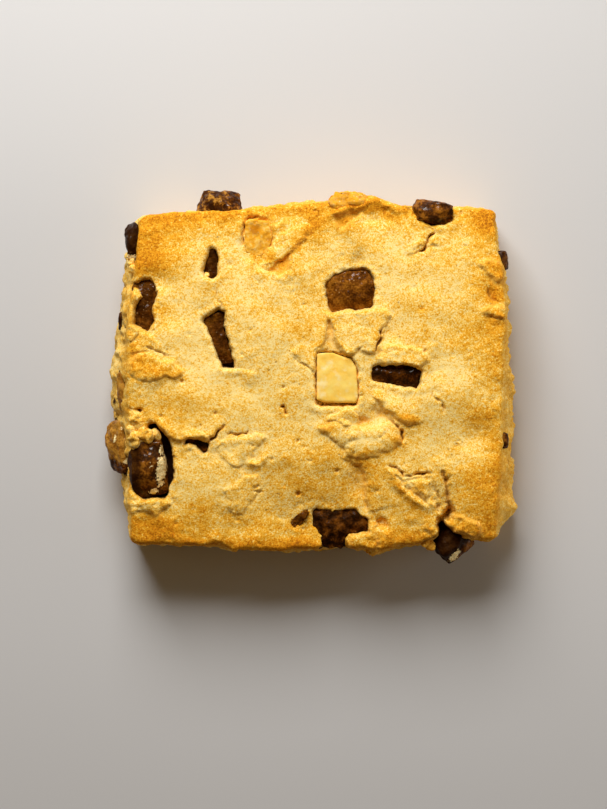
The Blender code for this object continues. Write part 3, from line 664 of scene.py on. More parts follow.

# how brown: the oven's patches and some patches of painted shade, the crust's edge, and whatever stands
# proud
proud = crust - softened(crust, 1.4)
# painted shade: the crust's hollows, found as what lies below its softened height, are painted warmer
# and darker
hollow = clamped(-1.6 * proud)
brown = 0.15 + 0.34 * np.clip(proud, -0.1, 0.5) + 0.14 * crust_noise(6, 31)
brown += 0.15 * by_edge
for patch in BROWNED_AND_PAINTED_SHADE:
    brown += BROWNED_AND_SHADE_STRENGTH * patch[5] * spot_weight(gx, gy, patch)

# openings over the chocolate, with a low rim, a stain of cocoa in and round them, and painted
# shade in the gaps and along the rims. The sides of the deeper ones are a little less steep.
stain = np.zeros(gx.shape)
for depth, cocoa_and_gap_shade, outline in OPENINGS:
    inner = inside_by(gx + fine_x, gy + fine_y, outline)
    side_width = 0.3 + 0.07 * depth
    drop = clamped(inner / side_width + 0.3)
    rim = 0.15 * bell(inner + 0.8, 0.5)
    crust += np.where(inner > -3, rim, 0) - depth * drop * drop * (3 - 2 * drop)
    stain = np.maximum(stain, cocoa_and_gap_shade * clamped(inner / 0.35 + 0.2))
    deep = np.maximum(deep, 0.5 * min(cocoa_and_gap_shade, 0.7) * bell(inner, 0.6))

# The chunks that press into the walls: (centre, half sizes, turn in degrees)
WALL_CHUNKS = {
    "dark_left_wall": ((-35.7, 27.3, 14.2), (1.8, 3.8, 2.6), 4),
    "milk_left_wall": ((-38.4, -13.8, 8.6), (3.3, 5.2, 3.8), 10),
    "milk_left_seam": ((-38.1, -2.6, 13.9), (1.1, 3.8, 1.3), 4),
    "dark_left_speck": ((-38.5, 11.4, 10.8), (0.8, 2.0, 1.5), 0),
    "milk_back_wall": ((-18.7, 34.6, 11.0), (4.2, 3.5, 4.0), -6),
    "milk_back_corner": ((24.2, 33.0, 15.9), (4.0, 2.5, 2.9), -12),
    "white_back_browned": ((8.0, 35.3, 15.6), (4.2, 1.9, 2.4), -6),
    "milk_right_wall": ((37.0, 23.4, 13.6), (2.5, 2.1, 2.2), 10),
    "milk_right_speck": ((38.3, -12.7, 14.6), (1.2, 1.5, 1.2), 0),
    "dark_front_corner": ((28.4, -33.2, 10.6), (3.5, 3.6, 4.2), 38),
}
# how far the skin of such a chunk bulges past its half sizes
BULGE = 1.12
# the end of the broad dark chunk that presses into the front wall, and a cocoa stain on the left one
FRONT_EDGE_END = ((4.5, -33.4, 13.6), (2.7, 2.4, 3.6), 0)
COCOA_SPECK = ((-40.6, -4.6, 11.6), (0.9, 0.7, 1.2), 0)
POCKETS = (*WALL_CHUNKS.values(), FRONT_EDGE_END)

slope_y, slope_x = np.gradient(crust, GRID_STEP)
steep = softened(np.hypot(slope_x, slope_y), 0.25)


def on_grid(field, x, y):
    """Reads a field of the crust's grid at any points, between its four nearest values."""
    i = np.clip((x - GRID_X[0]) / GRID_STEP, 0, len(GRID_X) - 1.001)
    j = np.clip((y - GRID_Y[0]) / GRID_STEP, 0, len(GRID_Y) - 1.001)
    i0, j0 = i.astype(int), j.astype(int)
    i, j = i - i0, j - j0
    near = field[j0, i0] * (1 - i) + field[j0, i0 + 1] * i
    far = field[j0 + 1, i0] * (1 - i) + field[j0 + 1, i0 + 1] * i
    return near * (1 - j) + far * j


def nearness(x, y, z, chunk):
    """Below 1 inside a wall chunk, 1 at its skin, and above 1 outside it."""
    (cx, cy, cz), (hx, hy, hz), turn = chunk
    c, s = math.cos(math.radians(turn)), math.sin(math.radians(turn))
    a = ((x - cx) * c + (y - cy) * s) / hx
    b = ((y - cy) * c - (x - cx) * s) / hy
    return np.sqrt(a * a + b * b + ((z - cz) / hz) ** 2) / BULGE


# In the walls: how far the foot draws in and over which share of the height, and how deep the
# pores, the splits and the pockets of the chunks are
FOOT_DRAWN_IN = 1.3
FOOT_SHARE = 0.09
PORE_DEPTH = 0.5
SPLIT_DEPTH = 0.8
POCKET_DEPTH = 1.5


def slab_form(u, v, w):
    """Takes points of a cube from -1 to 1 to the slab, and says how deep the walls' pores and splits
    are there, for painted shade.
    """
    px, py = u * CRUST_HALF_WIDTH, v * CRUST_HALF_DEPTH
    inner_x, inner_y = CRUST_HALF_WIDTH - CORNER_RADIUS, CRUST_HALF_DEPTH - CORNER_RADIUS
    a = np.clip(np.abs(px) - inner_x, 0, None) / CORNER_RADIUS
    b = np.clip(np.abs(py) - inner_y, 0, None) / CORNER_RADIUS
    a, b = a * np.sqrt(1 - b * b / 2), b * np.sqrt(1 - a * a / 2)
    px = np.sign(px) * np.where(a > 0, inner_x + CORNER_RADIUS * a, np.abs(px))
    py = np.sign(py) * np.where(b > 0, inner_y + CORNER_RADIUS * b, np.abs(py))
    a, b = a * np.sign(px), b * np.sign(py)
    edge = clamped(np.hypot(a, b))

    to_side = np.where(px < 0, along(CRUST_LEFT, py), along(CRUST_RIGHT, py))
    to_end = np.where(py < 0, along(CRUST_FRONT, px), along(CRUST_BACK, px))
    x, y = px / CRUST_HALF_WIDTH * to_side, py / CRUST_HALF_DEPTH * to_end
    inward = CORNER_RADIUS * (1 - edge)
    over = clamped(1 - inward / EDGE_RADIUS)
    top = CRUST_HEIGHT + on_grid(crust, x, y) - EDGE_RADIUS * (1 - np.sqrt(1 - over * over))

    share = (w + 1) / 2
    side_swell = np.where(a < 0, along(SWELL_LEFT, y), along(SWELL_RIGHT, y))
    end_swell = np.where(b < 0, along(SWELL_FRONT, x), along(SWELL_BACK, x))
    swell = (a * a * side_swell + b * b * end_swell) * along(WALL_PROFILE, share)
    foot = FOOT_DRAWN_IN * clamped(1 - share / FOOT_SHARE) ** 2
    z = top * share
    wander = 0.5 * noise_at(x, y, z * 0.6, 3.4, 33) + 0.28 * noise_at(x, y, z, 1.3, 34)

    # the walls are puffy lumps with creases between them, open pores, and splits along the layers
    wall = np.where(share < 0.97, edge, 0)
    middle = clamped(5 * share * (1 - share))
    lumps = 0.45 * noise_at(x, y, z * 1.5, 7, 5) - 0.35
    lumps += 0.9 * np.abs(noise_at(x, y, z * 1.3, 3.6, 6)) + 0.5 * np.abs(noise_at(x, y, z, 1.5, 8))
    pores = PORE_DEPTH * clamped((noise_at(x, y, z, 1.3, 9) - 0.36) / 0.15)
    layers = bell(noise_at(x, y, z * 3, 9, 10), 0.04)
    splits = SPLIT_DEPTH * (layers * clamped(3 * noise_at(x, y, z, 6, 12)))
    coarse = 1 + 0.4 * clamped(a)  # the right wall is the most torn
    out = swell - foot + wander + middle * coarse * (lumps - pores - splits)
    # painted shade: the deeper the pores and splits, the darker they are painted
    wall_pore_shade = middle * wall * np.maximum(pores, splits)
    snug = 0.96 + 0.16 * noise_at(x, y, z, 2.2, 11)
    for chunk in POCKETS:
        near = nearness(x + a * swell, y + b * swell, z, chunk)
        out -= wall * POCKET_DEPTH * clamped((snug - near) / 0.08)
    x, y = x + a * out, y + b * out

    lump = np.zeros(x.shape)
    for cx, cy, cz, radius, rise in LUMPS:
        away = np.sqrt((x - cx) ** 2 + (y - cy) ** 2 + (z - cz) ** 2)
        lump = np.maximum(lump, rise * bell(away, radius))
    upward = np.where(w > 0.999, 1 - edge**4, 0)
    x, y, z = x + a * lump * (1 - upward), y + b * lump * (1 - upward), z + lump * upward

    # the sides of the tears are ragged
    ragged = 0.4 * upward * clamped(on_grid(steep, x, y) - 0.9)
    ragged_x, ragged_y = (ragged * noise_at(x, y, 2 * z, 1.2, seed) for seed in (51, 52))
    return x + ragged_x, y + ragged_y, z, wall_pore_shade


def smoothed(bm, verts, rounds):
    """Evens these corners of a mesh out."""
    axes = {"use_axis_x": True, "use_axis_y": True, "use_axis_z": True}
    for _ in range(rounds):
        bmesh.ops.smooth_vert(bm, verts=verts, factor=0.5, **axes)


def added(name, data):
    """An object of the scene with this mesh, lamp or camera."""
    thing = bpy.data.objects.new(name, data)
    bpy.context.scene.collection.objects.link(thing)
    return thing


def place(bm, name, node, finish):
    """Scales a modelled mesh to metres and makes it the piece that stands for a node of the frame."""
    bm.transform(Matrix.Scale(MM, 4))
    bmesh.ops.recalc_face_normals(bm, faces=bm.faces)
    mesh = bpy.data.meshes.new(name)
    bm.to_mesh(mesh)
    bm.free()
    mesh.shade_smooth()
    mesh.materials.append(finish)
    piece = added(name, mesh)
    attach(piece, "root")
    if node:
        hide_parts(node)
    return piece


def paint(piece, **fields):
    """Keeps a number at each point of a piece, for its material to read."""
    for name, values in fields.items():
        layer = piece.data.attributes.new(name, "FLOAT", "POINT")
        layer.data.foreach_set("value", np.full(len(layer.data), values, np.float32))


class Shade:
    """A value in a material. Sums, differences and products of such values add Math nodes."""

    def __init__(self, tree, socket=None):
        self.tree = tree
        self.socket = socket

    def node(self, kind, settings=(), inputs=(), output=0):
        """Adds a node: its settings first, then the values or links of its sockets."""
        made = self.tree.nodes.new(kind)
        for name, value in dict(settings).items():
            if name == "stops":
                while len(made.color_ramp.elements) < len(value):
                    made.color_ramp.elements.new(0.5)
                for element, (spot, colour) in zip(made.color_ramp.elements, value):
                    element.position = spot
                    element.color = (*colour, 1.0)
            else:
                setattr(made, name, value)
        for name, value in dict(inputs).items():
            if isinstance(value, Shade):
                self.tree.links.new(value.socket, made.inputs[name])
            else:
                made.inputs[name].default_value = value
        return Shade(self.tree, made.outputs[output])

    def math(self, operation, first, second):
        return self.node("ShaderNodeMath", {"operation": operation}, {0: first, 1: second})

    def __add__(self, other):
        return self.math("ADD", self, other)

    def __sub__(self, other):
        return self.math("SUBTRACT", self, other)

    def __rsub__(self, other):
        return self.math("SUBTRACT", other, self)

    def __mul__(self, other):
        return self.math("MULTIPLY", self, other)

    __radd__ = __add__
    __rmul__ = __mul__

    def between(self, low, high):
        """0 below low, 1 above high, and a smooth rise between them."""
        return self.node(
            "ShaderNodeMapRange",
            {"interpolation_type": "SMOOTHSTEP", "clamp": True},
            {"Value": self, "From Min": low, "From Max": high},
        )

    def mixed(self, first, second):
        """Goes from the first colour to the second as this value goes from 0 to 1."""
        settings = {"data_type": "RGBA", "clamp_factor": True}
        return self.node("ShaderNodeMix", settings, {0: self, 6: first, 7: second}, output=2)

    def ramp(self, *stops):
        return self.node("ShaderNodeValToRGB", {"stops": stops}, {"Fac": self})

    def field(self, name):
        """A number that paint() kept on the piece."""
        return self.node("ShaderNodeAttribute", {"attribute_name": name}, output=2)

    def millimetres(self, *shift):
        """The place on the piece in millimetres, shifted."""
        at = self.node("ShaderNodeTexCoord", output=3)
        at = self.node("ShaderNodeVectorMath", {"operation": "SCALE"}, {0: at, "Scale": 1 / MM})
        return self.node("ShaderNodeVectorMath", {"operation": "ADD"}, {0: at, 1: shift})

    def spots(self, size, seed, detail=2, rough=0.5):
        """Cloudy noise from 0 to 1 whose spots are about size millimetres across."""
        at = self.millimetres(seed, seed * 1.7, -seed)
        inputs = {"Vector": at, "Scale": 1 / size, "Detail": detail, "Roughness": rough}
        return self.node("ShaderNodeTexNoise", {}, inputs)

    def cells(self, size, seed):
        """Distance from the nearest of many scattered points, in units of size millimetres."""
        at = self.millimetres(seed, -seed, seed)
        return self.node("ShaderNodeTexVoronoi", {}, {"Vector": at, "Scale": 1 / size})

    def bumped(self, depth_mm):
        """A surface normal from this height."""
        inputs = {"Height": self, "Distance": depth_mm * MM, "Strength": 1.0}
        return self.node("ShaderNodeBump", {}, inputs)


def surface(name, build, **constants):
    """A material: build() gives what varies over it, and the constants are set on the shader itself."""
    material = bpy.data.materials.new(name)
    material.use_nodes = True
    tree = material.node_tree
    shader = tree.nodes["Principled BSDF"]
    for socket, value in constants.items():
        shader.inputs[socket.replace("_", " ")].default_value = value
    for socket, value in build(Shade(tree)).items():
        tree.links.new(value.socket, shader.inputs[socket])
    return material


def baked_dough(s):
    """Pale butter crumb, golden to brown where the oven caught it, stained by the chocolate, with
    painted shade.
    """
    cloud = s.spots(3.0, 1, detail=3)
    mottle = s.spots(0.95, 2, detail=4, rough=0.7)
    grain = s.spots(0.46, 3, rough=0.6)
    crumb = s.spots(0.26, 4, detail=1)
    flecks = s.spots(0.42, 7, detail=1).between(0.56, 0.68)
    toasted = s.spots(0.40, 8, detail=1).between(0.58, 0.70)
    heat = s.field("brown") + (cloud - 0.5) * 0.3 + (mottle - 0.5) * 0.85 + (grain - 0.5) * 0.85
    heat = heat + (crumb - 0.5) * 1.0 - flecks * 0.2 + toasted * 0.18
    colour = heat.ramp(
        (0.0, (1.0, 0.76, 0.29)),
        (0.2, (0.95, 0.585, 0.100)),
        (0.42, (0.85, 0.40, 0.020)),
        (0.68, (0.70, 0.25, 0.007)),
        (1.0, (0.38, 0.115, 0.003)),
    )
    colour = (s.field("crumbly") * 0.45).mixed(colour, (0.95, 0.60, 0.13, 1))
    # painted shade in the hollows: warmer and darker
    hollow = s.field("hollow") + (mottle - 0.5) * 0.3
    colour = (hollow.between(0.1, 0.9) * 0.5).mixed(colour, (0.80, 0.37, 0.030, 1))
    # painted shade in small pores: darker dots, which the bump presses in too
    crust_pore_shade = (1 - s.cells(1.7, 5).between(0.06, 0.18)) * cloud.between(0.45, 0.6)
    colour = (crust_pore_shade * 0.6).mixed(colour, (0.36, 0.15, 0.02, 1))
    # cracks, pores and pits: partly the baked brown of cracks, then near black as painted shade
    crack_shade = s.field("deep") + (grain - 0.5) * 0.35
    colour = (crack_shade.between(0.15, 0.5) * 0.55).mixed(colour, (0.44, 0.17, 0.015, 1))
    colour = (crack_shade.between(0.5, 0.8) * 0.9).mixed(colour, (0.12, 0.038, 0.005, 1))
    # cocoa stain round the chocolate, and painted shade in the gaps by it, near black
    cocoa_and_gap_shade = s.field("stain") + (mottle - 0.5) * 0.5 + (grain - 0.5) * 0.4
    colour = cocoa_and_gap_shade.between(0.15, 0.45).mixed(colour, (0.045, 0.014, 0.004, 1))
    height = mottle * 0.4 + grain * 0.45 + crumb * 0.3 - crust_pore_shade * 0.3
    rough = 0.92 - heat.between(0.3, 0.9) * 0.2
    return {"Base Color": colour, "Roughness": rough, "Normal": height.bumped(0.15)}


dough_finish = surface(
    "baked dough", baked_dough, Specular_IOR_Level=0.15, Specular_Tint=(1.0, 0.78, 0.45, 1.0)
)

cuts_x = round(2 * CRUST_HALF_WIDTH / CRUST_CELL)
cuts_y = round(2 * CRUST_HALF_DEPTH / CRUST_CELL)
rows = round(CRUST_HEIGHT / WALL_CELL)
slab = bmesh.new()
bmesh.ops.create_grid(slab, x_segments=cuts_x, y_segments=cuts_y, size=1)
bmesh.ops.translate(slab, verts=slab.verts, vec=(0, 0, 1))

# its faces are cut in four where the crust is steep, round the tears and the cracks, but not at
# the rim
RIM = 0.985
TO_EDGE = 1.03  # the crust's edge lies about this far past the half sizes
u, v, w = np.array([face.calc_center_median() for face in slab.faces]).T
work = on_grid(steep, u * CRUST_HALF_WIDTH * TO_EDGE, v * CRUST_HALF_DEPTH * TO_EDGE)
work = np.where(np.maximum(np.abs(u), np.abs(v)) > RIM, 0, work)
slab.faces.ensure_lookup_table()
busy = [slab.faces[i] for i in np.argsort(-work)[:REFINED_FACES]]
busy_edges = list(dict.fromkeys(edge for face in busy for edge in face.edges))
bmesh.ops.subdivide_edges(slab, edges=busy_edges, cuts=1, use_grid_fill=True)

# the walls go down row by row, and the underside closes ring by ring, each this much of its size
UNDERSIDE_RINGS = (0.985, 0.96, 0.9, 0.7, 0.35)
rim = [e for e in slab.edges if e.is_boundary]
for row in range(rows):
    made = bmesh.ops.extrude_edge_only(slab, edges=rim)["geom"]
    rim = [item for item in made if isinstance(item, bmesh.types.BMEdge)]
    lower = [item for item in made if isinstance(item, bmesh.types.BMVert)]
    bmesh.ops.translate(slab, verts=lower, vec=(0, 0, -2 / rows))
for inward in UNDERSIDE_RINGS:
    made = bmesh.ops.extrude_edge_only(slab, edges=rim)["geom"]
    rim = [item for item in made if isinstance(item, bmesh.types.BMEdge)]
    ring = [item for item in made if isinstance(item, bmesh.types.BMVert)]
    reach = max(v.co.x for v in ring)
    bmesh.ops.scale(slab, verts=ring, vec=(inward / reach, inward / reach, 1))
bmesh.ops.contextual_create(slab, geom=rim)
u, v, w = np.array([vert.co for vert in slab.verts]).T
*spots, wall_pore_shade = slab_form(u, v, w)
for vert, spot in zip(slab.verts, zip(*spots)):
    vert.co = spot

# the steep sides of the tears break in soft lumps
TORN_STEEPNESS = 1.3
TORN_DEPTH = 7
slopes = on_grid(steep, *spots[:2])
torn_sides = [
    vert for vert, slope in zip(slab.verts, slopes)
    if slope > TORN_STEEPNESS and vert.co.z > CRUST_HEIGHT - TORN_DEPTH
]
smoothed(slab, torn_sides, 2)
dx, dy, dz = np.array([vert.co for vert in slab.verts]).T
dough = place(slab, "dough_crumb", "dough", dough_finish)

# the walls are paler than the crust, golden just below it and at the foot, and smeared by the chunks
on_top = clamped((w - 0.9) / 0.1)
share = (w + 1) / 2
crusted = np.maximum(on_top, clamped((share - 0.9 + 0.08 * noise_at(dx, dy, dz, 2.0, 42)) / 0.06))
wall_brown = 0.3 - 0.14 * clamped(-dx / 40) ** 3
near_crust, near_foot = clamped((share - 0.75) / 0.25), clamped(0.12 - share) / 0.12
wall_brown += 0.2 * near_crust**2 + 0.25 * near_foot + 0.2 * noise_at(dx, dy, dz, 5, 41)
smear = 0
for chunk in POCKETS:
    if chunk != WALL_CHUNKS["white_back_browned"]:
        smear = np.maximum(smear, clamped((1.14 - nearness(dx, dy, dz, chunk)) / 0.15))
smear = np.maximum(smear, clamped(1.6 - nearness(dx, dy, dz, COCOA_SPECK)))
# painted shade: cracks, pits, hollows, wall pores and splits and the gaps by the chocolate are darkened
paint(
    dough,
    brown=on_grid(brown, dx, dy) * crusted + wall_brown * (1 - crusted),
    crumbly=on_grid(crumbly, dx, dy) * on_top + 0.35 * (1 - on_top),
    stain=on_grid(stain, dx, dy) * on_top + 0.6 * smear * (1 - on_top),
    deep=on_grid(deep, dx, dy) * on_top + wall_pore_shade,
    # painted shade: the walls take a little of the hollows' warm shade all over
    hollow=on_grid(hollow, dx, dy) * on_top + 0.3 * (1 - on_top),
)

# ---------------------------------------------------------------------------------------------
# The chunks in the crust. Bars of milk, dark and white chocolate, chopped into blocks and baked
# in: their cut faces are flat, their edges have softened, and the dough has closed round them.
# ---------------------------------------------------------------------------------------------
VOXEL = 0.18  # the size of their faces
BEVEL = 0.45
MELTED_DOWN = 0.15  # how much of what stood over a facet is left

# (name, top, thickness, how much wider than its outline, how dark, or matt if dark chocolate,
# outline, facets). How dark stands for the painted shade of the narrow openings that the thin milk
# pieces lie in. A facet is a slope that the top was cut or melted down to: (x, y, height there,
# rise along X, rise along Y).
BLOCKS = (
    ("milk_square", 17.9, 6.5, 0.24, 0, (
        (3, 18.8), (4.1, 19.9), (7.2, 21), (10.9, 21.3), (12.2, 19.4), (12.3, 14.4), (11.9, 12.8),
        (3.7, 12.3), (3.3, 16),
    ), (
        (8, 18.6, 17.9, 0.02, -0.28), (8.4, 16, 17.9, -0.05, 0.5), (5.2, 17, 17.9, 0.6, 0.15),
        (10.6, 15, 17.4, -0.5, 0.3),
    )),
    ("white_square", 18.35, 6, 0.03, 0, (
        (1, 4.8), (4.1, 5), (6.2, 4.2), (7.8, 3.8), (8.9, 1.9), (9.1, -1.2), (9.3, -4), (8.8, -5.1),
        (2.6, -5), (0.9, -4.4),
    ), ((5, 0, 18.45, 0.02, -0.05),)),
    ("dark_oblong", 18, 6.4, 0.25, 0, OBLONG, (
        (17, 1, 17.8, 0.02, -0.45), (17, 0.5, 17.7, 0.04, 0.4), (20.4, 0, 17.6, -0.4, 0.1),
    )),
    ("milk_splinter", 17.4, 6.5, 0.4, 0.6, (
        (-21.5, 11.9), (-17.6, 13), (-18.2, 10.2), (-16.2, 3.4), (-18, 3), (-19.9, 7.5),
    ), ((-18.6, 8, 17.2, 0.3, 0.05), (-18, 8, 17.2, -0.5, -0.1), (-17, 4, 16.9, 0.1, 0.35))),
    ("milk_sliver", 17.2, 5, 0.4, 0.8, (
        (-20.2, 25.6), (-18.9, 25), (-18.7, 23.1), (-19, 20.2), (-21.4, 20.3), (-21.5, 22.2),
    ), ((-20.1, 23, 17.1, 0.5, 0), (-20, 23, 17.1, -0.6, 0.1))),
    ("milk_left_edge", 17, 6, 0.4, 0.65, (
        (-35.8, 18.2), (-34.8, 19.2), (-32.7, 19.4), (-31.3, 17.8), (-31.8, 12.2), (-33.2, 9.3),
        (-35.5, 10.8), (-35.5, 15.6),
    ), ((-33.6, 17.6, 16.9, 0.1, -0.7), (-33, 14, 16.9, -0.35, 0.05), (-34.4, 13, 16.7, 0.4, 0.2))),
    ("dark_glimpse", 16.4, 5, 0.6, 0, (
        (-25.6, -12.7), (-23, -12.2), (-20.3, -12.8), (-21, -15), (-22.6, -14.6),
    ), ((-22.8, -13.4, 16.6, 0.1, 0.4),)),
    ("dark_front_edge", 16.2, 5.5, 0.4, 0.85, (
        (0.3, -26.7), (4, -26.9), (8.6, -26.6), (11.3, -28.7), (11.2, -31), (7.4, -31.6), (6.5, -33.2),
        (5.8, -33.9), (4.4, -33.6), (3.4, -34.1), (2.5, -33.4), (2.2, -31.8), (0.6, -30.2),
    ), (
        (5, -29.4, 16.1, 0.05, -0.35), (7, -30, 16.1, -0.22, 0.1), (4.4, -31.4, 15.8, 0, 0.5),
        (2.6, -29, 15.9, 0.35, 0.1),
    )),
    ("milk_front_sliver", 16.3, 4, 0.3, 0.4, (
        (-3.9, -29.3), (-3.2, -28), (-1.2, -26.8), (-0.8, -27.2), (-2.2, -29.2), (-3.2, -30),
    ), ((-2.4, -28.4, 16, 0.3, 0.3),)),
    ("white_browned", 18.45, 5.5, 0.1, 0, (
        (-13.4, 26.4), (-13.3, 31), (-12.5, 31.6), (-8.8, 31.1), (-8, 28.6), (-8.8, 25.6),
        (-10.4, 24.4), (-13, 25),
    ), (
        (-11.4, 29.8, 18.3, -0.1, 0), (-9.6, 28.8, 18.2, -0.18, 0.16), (-11, 27.4, 18.3, 0.1, 0.1),
        (-12.6, 27, 18.3, 0.15, 0.05),
    )),
)

# where the browned chunk is darkest: (x, y, half length, half width, turn in degrees, how much)
TOASTED = (
    (-11.4, 29.7, 1.4, 1.2, 0, 1.0),
    (-8.6, 27.7, 0.9, 1.1, 0, 0.7),
    (-10.2, 26.4, 0.6, 1.3, 0, 0.5),
)


def strongest(x, y, spots):
    """The strongest of these spots at each point, times how much it is."""
    return np.max([spot[5] * spot_weight(x, y, spot) for spot in spots], axis=0)


def slot_of(name):
    """The kind of chocolate that a chunk is made of."""
    return ("browned" if "browned" in name else name.split("_")[0]) + "_chocolate"


def remeshed(bm):
    """The same closed form with small even faces, so that its skin can be worked."""
    mesh = bpy.data.meshes.new("block")
    bm.to_mesh(mesh)
    bm.free()
    block = added("block", mesh)
    even = block.modifiers.new("Even", "REMESH")
    even.mode = "VOXEL"
    even.voxel_size = VOXEL
    solid = bpy.data.meshes.new_from_object(block.evaluated_get(bpy.context.evaluated_depsgraph_get()))
    bpy.data.objects.remove(block)
    bm = bmesh.new()
    bm.from_mesh(solid)
    smoothed(bm, bm.verts, 3)
    return bm


def worked_skin(bm, seed, chips, melt):
    """Chips the edges and softens the faces of a block of chocolate."""
    bm.normal_update()
    x, y, z = np.array([vert.co for vert in bm.verts]).T
    dents = chips * noise_at(x, y, z, 1.1, seed) + melt * noise_at(x, y, z, 3.0, seed + 1)
    dents += 0.3 * chips * noise_at(x, y, z, 0.5, seed + 2)
    for vert, dent in zip(bm.verts, dents):
        vert.co += vert.normal * dent


def milk_chocolate(s):
    """Satin milk chocolate with a dusty bloom, darker patches, painted shade where marked dark, and
    small melted glints.
    """
    cloud = s.spots(2.6, 11, detail=3)
    drag = s.spots(1.0, 12, detail=4, rough=0.65)
    fine = s.spots(0.4, 13)
    tone = cloud * 0.6 + drag * 0.4 + (fine - 0.5) * 0.4
    colour = tone.ramp(
        (0.36, (0.050, 0.012, 0.0006)),
        (0.50, (0.150, 0.043, 0.002)),
        (0.66, (0.330, 0.120, 0.009)),
    )
    # painted shade: pieces marked dark, deep in narrow openings, are darker in broad patches
    dark = (s.field("dark") + (drag - 0.5) * 1.6).between(0.15, 1.0)
    colour = dark.mixed(colour, (0.028, 0.007, 0.0006, 1))
    dust = (1 - s.cells(0.8, 3).between(0.06, 0.24)) * fine.between(0.45, 0.65)
    colour = (dust * 0.6).mixed(colour, (0.66, 0.42, 0.17, 1))
    height = drag * 0.5 + fine * 0.4 + cloud * 0.6
    glint = s.spots(0.8, 14).between(0.54, 0.66) * 0.45
    return {
        "Base Color": colour,
        "Roughness": 0.42 + tone * 0.3,
        "Coat Weight": glint,
        "Normal": height.bumped(0.4),
    }


def dark_chocolate(s):
    """Near-black chocolate with specks of sugar and crumb, glossy where it melted if "dark" is low."""
    cloud = s.spots(1.8, 21, detail=3)
    fine = s.spots(0.35, 22)
    colour = (cloud + (fine - 0.5) * 0.4).ramp(
        (0.38, (0.012, 0.003, 0.0003)), (0.52, (0.040, 0.010, 0.0008)), (0.68, (0.135, 0.040, 0.003))
    )
    specks = (1 - s.cells(0.8, 7).between(0.05, 0.2)) * fine.between(0.5, 0.7)
    colour = (specks * 0.45).mixed(colour, (0.32, 0.17, 0.06, 1))
    height = cloud * 0.6 + fine * 0.4
    glint = s.spots(1.0, 23).between(0.5, 0.66) * (1 - s.field("dark")) * 0.45
    return {
        "Base Color": colour,
        "Roughness": 0.4 + fine * 0.3,
        "Coat Weight": glint,
        "Normal": height.bumped(0.3),
    }


def white_chocolate(s):
    """Smooth, waxy white chocolate, slightly mottled, with paler sugary patches."""
    cloud = s.spots(2.4, 31, detail=3)
    fine = s.spots(0.4, 32)
    colour = (cloud + (fine - 0.5) * 0.3).ramp((0.3, (0.97, 0.55, 0.06)), (0.7, (1.0, 0.72, 0.16)))
    sugar = s.spots(1.8, 33, detail=4).between(0.5, 0.72)
    colour = (sugar * 0.6).mixed(colour, (1.0, 0.88, 0.48, 1))
    height = cloud * 0.5 + fine * 0.2
    return {"Base Color": colour, "Roughness": 0.42 + fine * 0.2, "Normal": height.bumped(0.06)}


def browned_chocolate(s):
    """White chocolate that the oven has caramelised, with sugary specks and pits darkened by caramel
    and painted shade.
    """
    cloud = s.spots(1.4, 41, detail=3)
    fine = s.spots(0.5, 42, detail=3)
    colour = (cloud + (fine - 0.5) * 1.2).ramp(
        (0.2, (0.80, 0.31, 0.009)), (0.5, (0.92, 0.45, 0.035)), (0.8, (1.0, 0.64, 0.15))
    )
    toast = (s.field("dark") + (cloud - 0.5) * 0.8 + (fine - 0.5) * 0.8).between(0.25, 0.85)
    colour = (toast * 0.85).mixed(colour, (0.62, 0.20, 0.003, 1))
    # pits: bumped in, and darker with caramel and with painted shade
    shaded_pits = s.spots(1.3, 43, detail=3).between(0.54, 0.66) * s.field("pitted")
    colour = (shaded_pits * 0.7).mixed(colour, (0.45, 0.15, 0.004, 1))
    sugar = (1 - s.cells(0.9, 9).between(0.08, 0.25)) * s.field("pitted")
    colour = (sugar * 0.7).mixed(colour, (1.0, 0.80, 0.38, 1))
    height = cloud * 0.5 + fine * 0.5 - shaded_pits * 0.5
    return {"Base Color": colour, "Roughness": 0.75 + fine * 0.2, "Normal": height.bumped(0.16)}


finishes = {
    "milk_chocolate": surface(
        "milk chocolate", milk_chocolate, Specular_IOR_Level=0.09, Specular_Tint=(1.0, 0.6, 0.25, 1.0),
        Coat_Roughness=0.18,
    ),
    "dark_chocolate": surface(
        "dark chocolate", dark_chocolate, Specular_IOR_Level=0.07, Specular_Tint=(1.0, 0.65, 0.3, 1.0),
        Coat_Roughness=0.16,
    ),
    "white_chocolate": surface(
        "white chocolate", white_chocolate, Specular_IOR_Level=0.3, Specular_Tint=(1.0, 0.9, 0.6, 1.0)
    ),
    "browned_chocolate": surface("browned white chocolate", browned_chocolate, Specular_IOR_Level=0.06),
}

